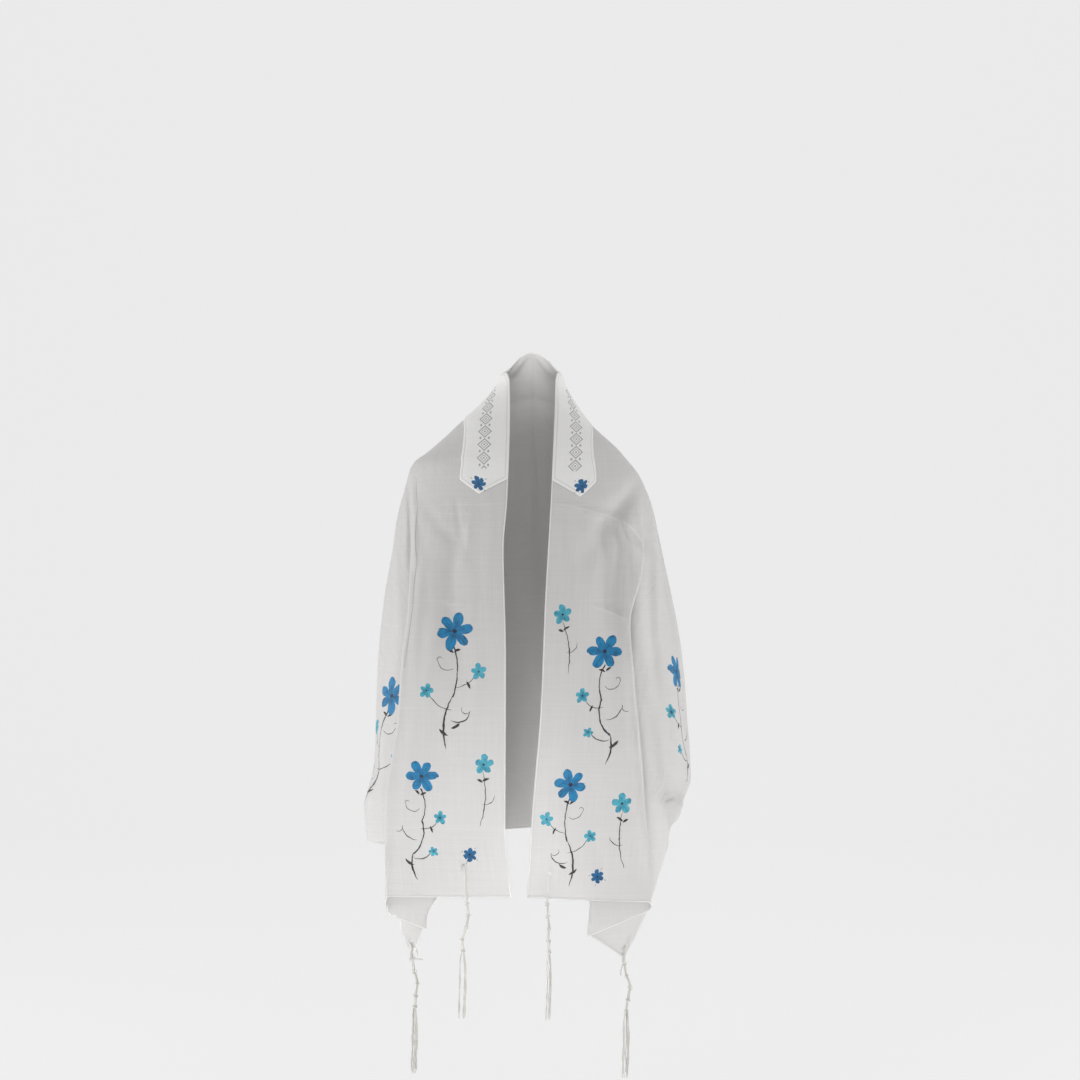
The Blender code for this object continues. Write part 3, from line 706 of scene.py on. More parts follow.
paint = {
    "deep": (0.001, 0.056, 0.15),
    "mid": (0.004, 0.24, 0.5),
    "pool": (0.005, 0.15, 0.25),
    "bright": (0.07, 0.45, 0.58),
    "ink": (0.001, 0.125, 0.31),
    "stem": (0.022, 0.019, 0.021),
    "heart": (0.012, 0.02, 0.06),
}


def paintOver(tree, ground, kinds):
    # the sprays over a ground colour; the cloth's own flat map shakes the brush a little
    do = maths(tree)
    shake = addNode(tree, "TexNoise", Vector=uvMap(tree, "cut"), Scale=95.0, Detail=1.5)
    x, y = [do("+", place, do("*", do("-", part, 0.5), brushShake)) for place, part in zip(
        parts(tree, uvMap(tree, "motif"))[:2], parts(tree, shake.node.outputs["Color"]))]
    for kind in kinds:
        localX = do("-", x, kind * motifStep) if kind else x
        lines = strongest(do, [useGroup(tree, brush, x=localX, y=y, **strokeValues(*stroke))["mask"]
                               for stroke in strokes[kind]])
        ground = mixColour(tree, do("*", lines, 0.95), ground, paint["stem"])
        for cx, cy, radius, turn, petals, valley, dark, light in flowers[kind]:
            got = useGroup(tree, blossom, x=localX, y=y, centreX=cx, centreY=cy, radius=radius, turn=turn,
                           petals=petals, valley=valley)
            ink = mixColour(tree, got["tone"], paint[light], paint[dark])
            ink = mixColour(tree, got["heart"], ink, paint["heart"])
            ground = mixColour(tree, do("*", got["mask"], 0.97), ground, ink)
    return ground


# centre, radius, turn, petals, valley, dark and light paint
flowers = (
    ((0.0, 0.004, 0.035, 0.25, 6.0, 0.42, "deep", "mid"),
     (0.046, -0.062, 0.015, 0.1, 5.0, 0.5, "pool", "bright"),
     (-0.042, -0.102, 0.0135, 0.4, 5.0, 0.5, "pool", "bright")),
    ((0.0, 0.002, 0.017, 0.2, 5.0, 0.5, "pool", "bright"),),
    ((0.0, 0.0, 0.0116, 0.3, 6.0, 0.58, "deep", "ink"),),
    ((0.0, 0.004, 0.034, 0.6, 6.0, 0.46, "deep", "mid"),
     (-0.044, -0.074, 0.014, 0.3, 5.0, 0.5, "pool", "bright"),
     (-0.034, -0.142, 0.0105, 0.55, 5.0, 0.5, "pool", "bright")),
)

strokes = (tallStrokes, smallStrokes, speckStrokes, bentStrokes)
brush, blossom = strokeGroup(), blossomGroup()


def newMaterial(name, roughness, specular, sheen=0.0):
    finish = bpy.data.materials.new(name)
    finish.use_nodes = True
    shader = finish.node_tree.nodes["Principled BSDF"]
    shader.inputs["Roughness"].default_value = roughness
    shader.inputs["Specular IOR Level"].default_value = specular
    shader.inputs["Sheen Weight"].default_value = sheen
    return finish, finish.node_tree, shader


def threadMaterial(name, scale, depth, colours, *shine):
    # fine fibres in the piece's own space
    finish, tree, shader = newMaterial(name, *shine)
    place = addNode(tree, "TexCoord").node.outputs["Object"]
    grain = addNode(tree, "TexNoise", Vector=place, Scale=scale)
    tree.links.new(mixColour(tree, grain, *colours), shader.inputs["Base Color"])
    lift = addNode(tree, "Bump", Strength=depth, Distance=0.0004, Height=grain)
    tree.links.new(lift, shader.inputs["Normal"])
    return finish


silkLook = {
    "colour": (0.725, 0.717, 0.707),
    "shade": (0.64, 0.632, 0.622),
    # the colour of the painted highlight on the pressed and stored lines
    "pressedAndPaintedHighlight": (0.86, 0.855, 0.845),
    # the colour of the painted shadow line where the left front turns over the sleeve
    "folded": (0.43, 0.425, 0.42),
    "cover": 0.8,
    "shine": (0.46, 0.2, 0.18),         # how rough, shiny and downy
    "weave": (0.00062, 0.1, 0.35),      # the threads' pitch and depth, and the crinkle's depth
}


# Pressed lines on the flat cut, in millimetres: the distance in from the side's front edge and the
# drop of both ends, the bulge, the half width, and then how plain it is. Each gets a bump and a painted
# highlight. The stored ones run right across the cloth, where it was put away in folds, and are in metres.
pressedLines = {
    "left": (
        (4, 226, 110, 227.5, 1.2, 1.8, 0.4),
        (60, 244, 140, 239, 2, 1.8, 0.35),
        (52, 401, 112, 392, 1.6, 1.9, 0.5)),
    "right": (
        (2, 226.5, 81, 243.5, -2, 2.4, 0.7),
        (80, 243.3, 128, 259, -1, 2.6, 0.8),
        (126, 258, 170, 313, -8, 2.8, 0.85),
        (80, 401, 139, 424, -2, 2.6, 0.7),
        (128, 338, 130, 398, 1, 1.8, 0.45),
        (139, 330, 137, 430, 2, 1.8, 0.4)),
    "stored": (0.23, 0.3905, 0.572, 0.774),
    "storedWidth": 0.0022,
    # the upper fronts on the flat cut, in metres: between two drops, outside two distances across
    "drops": (0.155, 0.52), "fronts": (0.2, 2.0),
}


def pressedAndPaintedHighlight(tree, cut, sides):
    # how pressed the cloth is, 0 to 1; it gives the lines their bump and their painted highlight
    do = maths(tree)
    x, y, _ = parts(tree, cut)
    masks = []
    for side in sides:
        for x0, y0, x1, y1, bulge, width, plain in pressedLines[side]:
            if side == "right":
                x0, x1, bulge = 1000 * cutRight - x0, 1000 * cutRight - x1, -bulge
            line = strokeValues(x0, y0, x1, y1, bulge, width, 0.3, width)
            masks.append(do("*", useGroup(tree, brush, x=x, y=y, **line)["mask"], plain))
    shake = addNode(tree, "TexNoise", Vector=cut, Scale=14.0)
    drop = do("+", y, do("*", do("-", shake, 0.5), 0.01))
    for line in pressedLines["stored"]:
        off = do("/", do("ABSOLUTE", do("-", drop, line)), pressedLines["storedWidth"])
        masks.append(clamped(do("-", 0.4, off)))
    return strongest(do, masks)


# a painted shadow: the dark line where the left front turns over the sleeve, laid in the same way
foldShadowStrokes = ((170, 184, 158.5, 238, -1.4, 1.1), (158.5, 238, 148.8, 325, -1.2, 1.5),
            (148.8, 325, 156, 400, -1, 1.4), (156, 400, 172.5, 505, -0.4, 1.3))


def paintedFoldShadow(tree, cut):
    # the mask of the painted shadow line along the left front's fold
    x, y, _ = parts(tree, cut)
    drawn = [strokeValues(*line, 0.2, line[-1]) for line in foldShadowStrokes]
    return strongest(maths(tree), [useGroup(tree, brush, x=x, y=y, **line)["mask"] for line in drawn])


# noise scales along and across the threads, and how high each layer of the weave stands
weave = {"slubs": (900.0, 26.0, 1.0), "slubShare": 1.6, "crinkleScale": 42.0, "crinkleRise": 0.0035,
         "pressedRise": 0.0012, "threadRise": 0.0004, "warpStreaks": (420.0, 9.0, 1.0),
         "weftStreaks": (7.0, 380.0, 1.0)}


def wovenBump(tree, shader, pitch, depth, crinkle, lines=None):
    # warp and weft as fine waves over the flat cut, with slubs and a soft crinkle
    do, cut = maths(tree), uvMap(tree, "cut")

    def threads(*scale):
        return addNode(tree, "TexNoise", Vector=addNode(tree, "Mapping", Vector=cut, Scale=scale), Scale=1.0)

    warp, weft = [do("SINE", do("*", part, 2 * math.pi / pitch)) for part in parts(tree, cut)[:2]]
    woven = do("+", do("*", warp, weft), do("*", threads(*weave["slubs"]), weave["slubShare"]))
    soft = addNode(tree, "TexNoise", Vector=cut, Scale=weave["crinkleScale"], Detail=3.0)
    bump = addNode(tree, "Bump", Strength=crinkle, Distance=weave["crinkleRise"], Height=soft)
    if lines is not None:
        crease = addNode(tree, "Bump", Strength=0.4, Distance=weave["pressedRise"], Height=lines)
        tree.links.new(crease, bump.node.inputs["Normal"])
    bump = addNode(tree, "Bump", Strength=depth, Distance=weave["threadRise"], Height=woven, Normal=bump)
    tree.links.new(bump, shader.inputs["Normal"])
    # uneven threads show as faint streaks both ways
    streaks = do("+", threads(*weave["warpStreaks"]), threads(*weave["weftStreaks"]))
    return clamped(do("+", do("*", do("-", streaks, 1.0), 0.9), 0.5))


def silkMaterial(name, kinds=(), sides=()):
    finish, tree, shader = newMaterial(name, *silkLook["shine"])
    cut = uvMap(tree, "cut")
    lines = pressedAndPaintedHighlight(tree, cut, sides)
    streaks = wovenBump(tree, shader, *silkLook["weave"], lines)
    ground = mixColour(tree, streaks, silkLook["colour"], silkLook["shade"])
    # painted highlight: the pressed and stored lines are made lighter as if they caught the light
    ground = mixColour(tree, maths(tree)("*", lines, 0.6), ground, silkLook["pressedAndPaintedHighlight"])
    # painted shadow: a dark line along the left front's turned-over edge
    if sides:
        ground = mixColour(tree, paintedFoldShadow(tree, cut), ground, silkLook["folded"])
    if kinds:
        ground = paintOver(tree, ground, kinds)
    tree.links.new(ground, shader.inputs["Base Color"])
    shader.inputs["Alpha"].default_value = silkLook["cover"]
    shader.inputs["Sheen Roughness"].default_value = 0.4
    return finish


def layFinishes(cloth):
    # plain silk, the pressed upper fronts, and one finish for each kind of spray. Every finish has a painted
    # highlight on the stored lines; the pressed upper fronts also have it on their pressed lines and have the
    # painted shadow line at the left fold
    cloth.data.materials.append(silkMaterial("plainSilk"))
    cloth.data.materials.append(silkMaterial("pressedSilk", sides=("left", "right")))
    for kind in range(4):
        cloth.data.materials.append(silkMaterial("paintedSilk" + str(kind), kinds=(kind,)))
    motif, cut = cloth.data.uv_layers["motif"].data, cloth.data.uv_layers["cut"].data
    high, low = pressedLines["drops"]
    left, right = pressedLines["fronts"]
    for face in cloth.data.polygons:
        x = motif[face.loop_start].uv[0]
        across, drop = cut[face.loop_start].uv
        if x > nowhere + 1:
            face.material_index = 2 + round(x / motifStep)
        elif high < drop < low and not left <= across <= right:
            face.material_index = 1


def buildCloth():
    grid = dressedGrid()
    holes = [openEyelet(grid, spot) for spot in eyelets]
    cut = np.stack((grid["front"] * np.where(grid["isRight"], -1, 1) + np.where(grid["isRight"], cutRight, 0),
                    grid["drop"]), axis=-1)
    cloth = gridSheet("silkShawl", grid["points"], cut, [hole["index"] for hole in holes], motifMap(grid))
    layFinishes(cloth)
    tree = BVHTree.FromObject(cloth, bpy.context.evaluated_depsgraph_get())
    thicken(cloth, shawl["wall"])
    return cloth, grid, holes, tree


eyelets = (
    {"tassel": "frontLeft", "node": "tassel_front_left", "side": "left", "place": 0.36, "drop": 0.836},
    {"tassel": "frontRight", "node": "tassel_front_right", "side": "right", "place": 0.165, "drop": 0.852},
    {"tassel": "rearLeft", "node": "tassel_rear_left", "side": "left", "place": 4.34, "drop": 0.976},
    {"tassel": "rearRight", "node": "tassel_rear_right", "side": "right", "place": 4.5, "drop": 0.981},
)
eyelet = {"radius": 0.0025, "lift": 0.0012, "ringInset": 0.0003, "ringWide": 0.0008, "ringThick": 0.00065,
          "stitches": 23, "ridge": 0.16}


def openEyelet(grid, spot):
    # draws the points round the nearest one into a round hole
    target = clothPoints(spot["side"], columnOf(spot["place"]), spot["drop"] - eyelet["lift"])
    away = np.linalg.norm(grid["points"] - target, axis=-1)
    away[(grid["isRight"] != (spot["side"] == "right"))[:, 0]] = 9
    i, j = np.unravel_index(int(np.argmin(away)), away.shape)
    centre, out = grid["points"][i, j].copy(), grid["normals"][i, j]
    ring = grid["points"][i - 1:i + 2, j - 1:j + 2]
    ring[:] = centre + unit(ring - centre) * eyelet["radius"]
    return {**spot, "index": (i, j), "centre": Vector(centre), "out": Vector(out).normalized()}


silkShawl, shawlGrid, holes, clothTree = buildCloth()
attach(silkShawl, "root")
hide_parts("shawl_cloth")
print("silk shawl with painted ends, faces:", len(silkShawl.data.polygons))


def tube(rings):
    # a closed wall round a row of rings; both ends are capped
    count, sides = rings.shape[:2]
    index = np.arange(count * sides).reshape(count, sides)
    after = np.roll(index, -1, axis=1)
    faces = np.stack((index[:-1], after[:-1], after[1:], index[1:]), axis=-1).reshape(-1, 4)
    return rings.reshape(-1, 3), faces.tolist() + [index[0][::-1].tolist(), index[-1].tolist()]


def hoop(rings):
    # a closed wall round a row of rings that comes back to the first
    count, sides = rings.shape[:2]
    index = np.arange(count * sides).reshape(count, sides)
    beyond, after = np.roll(index, -1, axis=0), np.roll(index, -1, axis=1)
    faces = np.stack((index, after, np.roll(beyond, -1, axis=1), beyond), axis=-1).reshape(-1, 4)
    return rings.reshape(-1, 3), faces.tolist()


def evenTurns(count):
    return 2 * math.pi * np.arange(count) / count


def sweep(path, reach, twist, lobes, sides, lift):
    # rings round a path; lobes is how far a twisted pair stands out of round
    ahead = unit(np.gradient(path, axis=0))
    side = unit(np.cross(ahead, np.array(lift, float)))
    other = np.cross(side, ahead)
    angle = evenTurns(sides)
    reach = np.broadcast_to(np.asarray(reach, float), (len(path),))
    out = reach[:, None] * (1 + lobes * np.cos(2 * (angle - twist * distanceAlong(path)[:, None])))
    return (path[:, None] + side[:, None] * (out * np.cos(angle))[..., None]
            + other[:, None] * (out * np.sin(angle))[..., None])


def joinShells(name, shells, finish):
    # one mesh from several closed shells, each a pair of points and faces
    faces, passed = [], 0
    for shellPoints, shellFaces in shells:
        faces += [[corner + passed for corner in face] for face in shellFaces]
        passed += len(shellPoints)
    mesh = bpy.data.meshes.new(name)
    mesh.from_pydata(np.concatenate([shell[0] for shell in shells]).tolist(), [], faces)
    mesh.materials.append(finish)
    piece = newObject(name, mesh, bpy.ops.mesh.normals_make_consistent)
    bpy.ops.object.shade_smooth()
    return piece


# The doubled band round the neck, with a pointed end on each front.
band = {
    "wall": 0.0011, "lift": 0.0012, "rows": 176, "columns": 64, "pointShare": 0.12,
    "outer": {
        "left": lengths(
            "place angle drop",
            (0.0, 29.5, 184), (0.08, 30.2, 160), (0.15, 36.2, 136), (0.23, 46.6, 110), (0.3, 56.0, 95),
            (0.4, 76.0, 81), (0.5, 98.0, 73), (0.65, 124.0, 63), (0.8, 148.0, 50), (1.0, 180.0, 37),
            plain="place angle"),
        "right": lengths(
            "place angle drop",
            (0.0, 30.0, 184), (0.08, 33.7, 160), (0.15, 38.5, 139), (0.22, 46.0, 120),
            (0.3, 60.5, 102), (0.4, 80.0, 88), (0.5, 100.0, 77), (0.65, 125.0, 64), (0.8, 148.0, 50),
            (1.0, 180.0, 37), plain="place angle")},
    "ends": {"left": {"inner": 0.186, "point": 0.212, "outer": 0.188, "across": 0.52},
             "right": {"inner": 0.188, "point": 0.218, "outer": 0.194, "across": 0.54}},
    "seamInset": 0.0046, "seamWidth": 0.001, "seamDepth": 0.0006, "padding": 0.0006,
    "pucker": 0.00022, "puckerPitch": 0.0061, "puckerWidth": 0.004, "edgeRound": 0.0022,
    "seek": 0.015, "starFromPoint": 0.018, "starReach": 0.02, "starSize": (1.34, 1.14),
}


def endDrop(end, across):
    return np.interp(across, (0, end["across"], 1), (end["inner"], end["point"], end["outer"]))


def bandPoints(side, along, across):
    end = band["ends"][side]
    column = shawl["columns"] * np.maximum(along - 0.5, 0) / 0.5
    innerDrop = np.where(along < 0.5, end["inner"] * (1 - along / 0.5), neckDrop(column))
    start = startAngle(side, innerDrop)
    innerAngle = start + (math.pi - start) * column / shawl["columns"]
    outerAngle = np.radians(follow(band["outer"][side], "angle", along))
    outerDrop = follow(band["outer"][side], "drop", along)
    pointed = np.maximum(1 - along / band["pointShare"], 0)
    angle = innerAngle + (outerAngle - innerAngle) * across
    drop = innerDrop + (outerDrop - innerDrop) * across + pointed * (endDrop(end, across) - end["inner"])
    x, y = smoothShoulder(side, angle, drop)
    return np.stack((-x if side == "left" else x, y, -drop), axis=-1)


def bandGrid():
    # laid on the dressed cloth, with how far each point is across and along the flat band
    along, across = np.meshgrid(np.arange(band["rows"] + 1) / band["rows"],
                                np.arange(band["columns"] + 1) / band["columns"], indexing="ij")
    points = np.concatenate((bandPoints("left", along, across), bandPoints("right", along, across)[-2::-1]))
    out = surfaceNormals(points)
    for i, j in np.ndindex(points.shape[:2]):
        start, away = Vector(points[i, j]), Vector(out[i, j])
        hit = clothTree.ray_cast(start + away * band["seek"], -away, 2 * band["seek"])[0]
        if hit is None:
            near = clothTree.find_nearest(start)[0]
            hit = start + away * (near - start).dot(away)
        points[i, j] = hit + away * band["lift"]
    out = surfaceNormals(points)
    u, v = distanceAlong(points, 1), distanceAlong(points)
    fromEnd = np.minimum(v, v[-1] - v)
    inside = np.minimum(np.minimum(u, u[:, -1:] - u), fromEnd * 0.76)
    trough = np.exp(-((inside - band["seamInset"]) / band["seamWidth"]) ** 2)
    puff = 1 - np.exp(-(inside / band["edgeRound"]) ** 2)
    pucker = np.exp(-(inside - band["seamInset"]) ** 2 / band["puckerWidth"] ** 2)
    pucker = np.sin(2 * math.pi * v / band["puckerPitch"]) * pucker
    rise = band["padding"] * puff - band["seamDepth"] * trough + band["pucker"] * pucker
    points = points + out * rise[..., None]
    # the flat map is squared up, so that it is the same straight across either end
    gaps = [end["point"] - endDrop(end, across[0]) for end in band["ends"].values()]
    whole = (v[-1] + gaps[0] + gaps[1]).mean()
    onRight = smoothStep(np.linspace(-1.17, 2.17, len(v)))[:, None]
    v = (v + gaps[0]) * (1 - onRight) + (whole - (v[-1] - v + gaps[1])) * onRight
    return points, np.stack((u, v), axis=-1), inside


def bandStars(cut):
    # a star flower near each point, in the band's own motif map
    flat = cut.reshape(-1, 2)
    rows, columns = cut.shape[:2]
    spots = []
    for row, side, way in ((0, "left", 1), (rows - 1, "right", -1)):
        column = round(band["ends"][side]["across"] * (columns - 1))
        spots.append((cut[row, column] + np.array((0, way * band["starFromPoint"])), way))

    def corners(faces):
        uv = np.full((*faces.shape, 2), nowhere)
        middle = flat[faces].mean(axis=1)
        for spot, way in spots:
            near = (np.abs(middle - spot) < band["starReach"]).all(axis=1)
            here = (flat[faces][near] - spot) * way / band["starSize"]
            uv[near] = here + np.array((2 * motifStep, 0))
        return uv
    return corners


ornament = {"pitch": 0.025, "middle": 0.043, "half": 0.0118, "line": 0.15, "from": 0.044, "drift": 0.005,
            "outer": 0.92, "inner": 0.5, "innerLine": 0.1, "dot": 0.17, "pair": 0.62, "stitch": 0.0011,
            "grey": (0.13, 0.13, 0.14)}


def ornamentMask(tree, length):
    # a chain of stitched lozenges with a dot in each and a pair of dots between them
    do = maths(tree)
    u, v, _ = parts(tree, uvMap(tree, "cut"))
    middle = do("-", ornament["middle"], do("*", v, ornament["drift"] / length))
    across = do("/", do("-", u, middle), ornament["half"])
    turns = do("FRACT", do("/", v, ornament["pitch"]))
    along = do("*", do("-", turns, 0.5), ornament["pitch"] / ornament["half"])
    reach = do("+", do("ABSOLUTE", across), do("ABSOLUTE", along))

    def lozenge(size, half):
        return passing(do, half, do("ABSOLUTE", do("-", reach, size)), 0.06)

    def dot(x, y):
        dx, dy = do("-", across, x), do("-", do("ABSOLUTE", along), y)
        return passing(do, ornament["dot"], distance(do, dx, dy), 0.05)

    lines = strongest(do, (lozenge(ornament["outer"], ornament["line"]),
                           lozenge(ornament["inner"], ornament["innerLine"]), dot(0.0, 0.0),
                           dot(ornament["pair"], 1.0), dot(-ornament["pair"], 1.0)))
    thread = do("+", 0.72, do("*", do("SINE", do("*", v, 2 * math.pi / ornament["stitch"])), 0.28))
    fromEnd = do("MINIMUM", v, do("-", length, v))
    return do("*", do("*", lines, thread), passing(do, fromEnd, ornament["from"], 0.0004))


bandLook = {"colour": (0.83, 0.825, 0.815), "shade": (0.765, 0.76, 0.75), "seam": (0.46, 0.455, 0.445),
            "stitch": 0.003, "shine": (0.5, 0.35, 0.25), "weave": (0.00055, 0.1, 0.22)}


def seamMask(tree):
    # a row of stitches just inside the band's edge
    do = maths(tree)
    inside, along, _ = parts(tree, uvMap(tree, "edge"))
    off = do("ABSOLUTE", do("-", inside, band["seamInset"]))
    stitch = do("+", 0.75, do("*", do("SINE", do("*", along, 2 * math.pi / bandLook["stitch"])), 0.25))
    return do("*", passing(do, 0.001, off, 0.0006), stitch)


def bandMaterial(length):
    finish, tree, shader = newMaterial("bandSilk", *bandLook["shine"])
    do = maths(tree)
    streaks = wovenBump(tree, shader, *bandLook["weave"])
    ground = mixColour(tree, streaks, bandLook["colour"], bandLook["shade"])
    ground = mixColour(tree, do("*", seamMask(tree), 0.55), ground, bandLook["seam"])
    ground = mixColour(tree, do("*", ornamentMask(tree, length), 0.85), ground, ornament["grey"])
    tree.links.new(paintOver(tree, ground, (2,)), shader.inputs["Base Color"])
    return finish


def buildBand():
    points, cut, inside = bandGrid()
    piece = gridSheet("silkNeckband", points, cut, (), bandStars(cut))
    corner = np.empty(len(piece.data.loops), np.int32)
    piece.data.loops.foreach_get("vertex_index", corner)
    addMap(piece.data, "edge", np.stack((inside, cut[..., 1]), axis=-1).reshape(-1, 2)[corner])
    piece.data.materials.append(bandMaterial(float(cut[..., 1].max())))
    thicken(piece, band["wall"])
    return piece


neckBand = buildBand()
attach(neckBand, "root")
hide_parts("neckband")
print("pointed neckband")


# A narrow rolled hem all round the cloth.
# threads: the grain's scale, its depth, two colours, and how rough, shiny and downy they are
hem = {"step": 0.0016, "sides": 8, "wide": 0.0013, "thick": 0.001, "inset": 0.0007, "pinch": 0.14,
       "pitch": 0.0046, "threads": (900.0, 0.2, ((0.73, 0.725, 0.715), (0.66, 0.655, 0.645)), 0.55, 0.3, 0.3)}


def buildHem():
    points, normals = shawlGrid["points"], shawlGrid["normals"]
    columns, rows = points.shape[:2]
    route = [(0, j) for j in range(rows)] + [(i, rows - 1) for i in range(1, columns)]
    route += [(columns - 1, j) for j in range(rows - 2, -1, -1)]
    route += [(i, 0) for i in range(columns - 2, -1, -1)]
    path, out = [np.array([values[spot] for spot in route]) for values in (points, normals)]
    run = distanceAlong(path)
    count = int(run[-1] / hem["step"])
    at = np.arange(count) * run[-1] / count
    path, out = [np.stack([np.interp(at, run, part) for part in values.T], axis=1) for values in (path, out)]
    ahead = unit(np.roll(path, -1, axis=0) - np.roll(path, 1, axis=0))
    inward = unit(np.cross(ahead, out))
    out = np.cross(inward, ahead)
    pinch = 1 - hem["pinch"] * (0.5 + 0.5 * np.cos(2 * math.pi * at / hem["pitch"])) ** 4
    angle = evenTurns(hem["sides"])
    rings = (path + inward * hem["inset"])[:, None]
    rings = rings - inward[:, None] * (hem["wide"] * np.outer(pinch, np.cos(angle)))[..., None]
    rings = rings + out[:, None] * (hem["thick"] * np.outer(pinch, np.sin(angle)))[..., None]
    return joinShells("rolledHem", [hoop(rings)], threadMaterial("rolledHem", *hem["threads"]))


rolledHem = buildHem()
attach(rolledHem, "root")
print("rolled hem")


# The ring of buttonhole stitches round each corner's eyelet.
def buildRings():
    shells = []
    turn, small = evenTurns(4 * eyelet["stitches"]), evenTurns(8)
    ridge = 1 + eyelet["ridge"] * np.cos(eyelet["stitches"] * turn)[:, None]
    radius = eyelet["radius"] + eyelet["ringInset"] + eyelet["ringWide"] * ridge * np.cos(small)
    height = eyelet["ringThick"] * ridge * np.sin(small)
    for hole in holes:
        out = np.array(hole["out"])
        right = unit(np.cross((0, 0, 1), out))
        up = np.cross(out, right)
        round1 = np.cos(turn)[:, None, None] * right + np.sin(turn)[:, None, None] * up
        shells.append(hoop(np.array(hole["centre"]) + radius[..., None] * round1 + height[..., None] * out))
    return joinShells("eyeletStitches", shells, rolledHem.data.materials[0])


eyeletStitches = buildRings()
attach(eyeletStitches, "root")


# Four tassels: a doubled cord through the eyelet, a wound and knotted head, and eight strands.
tassel = {
    "loopReach": 0.0028, "loopDrop": 0.006, "legShift": 0.00085, "legCord": 0.00095,
    "head": 0.086, "core": 0.0014, "winding": 0.00068, "windings": (7, 8, 11, 13),
    "knots": (0.04, 0.28, 0.52, 0.76, 0.97), "knotGap": 0.035, "knotRing": 0.0027, "knotCord": 0.0012,
    "strand": 0.0008, "length": 0.116, "uneven": 0.02, "flare": 0.75, "wave": 0.0014,
    "knotTilt": 0.42, "knotHalf": 0.0011, "knotUneven": 0.24, "twist": 1500.0, "looseCord": 0.0011,
    # the strands' share of length in which they part, the gap between rows, and how far they stray
    "gather": 0.16, "rowGap": 0.0013, "shake": (0.0007, 0.0006),
    "threads": (1400.0, 0.35, ((0.54, 0.525, 0.495), (0.74, 0.725, 0.695)), 0.85, 0.2, 0.35),
    "sway": {"frontLeft": (0.0, 0.003, 0.0, -0.008, -0.006),
             "frontRight": (0.0, 0.001, 0.003, 0.002, 0.003),
             "rearLeft": (0.0, 0.004, 0.01, 0.007, 0.005),
             "rearRight": (0.0, 0.004, 0.011, 0.007, 0.004)},
    "spread": {"frontLeft": 0.0012, "frontRight": 0.001, "rearLeft": 0.0014, "rearRight": 0.0016},
    # loose ends beside the head: how far each point lies to the right, forward and up from its top
    "loose": {"rearLeft": (((0.0035, 0.003, 0.019), (0.0096, 0.004, 0.016), (0.0122, 0.004, 0.007),
                            (0.0095, 0.003, 0.0005), (-0.001, 0.0035, -0.002)),
                           ((-0.003, 0.004, -0.003), (0.006, 0.005, -0.0012), (0.014, 0.004, -0.0022),
                            (0.021, 0.003, -0.0036))),
              "rearRight": (((0.0, 0.003, -0.002), (-0.0045, 0.004, -0.007), (-0.0075, 0.004, -0.014),
                             (-0.0065, 0.003, -0.025)),)},
    # how far the strands hang apart in two bundles
    "parted": {"frontLeft": 0.0036, "frontRight": 0.0014, "rearLeft": 0.0016, "rearRight": 0.0022},
}


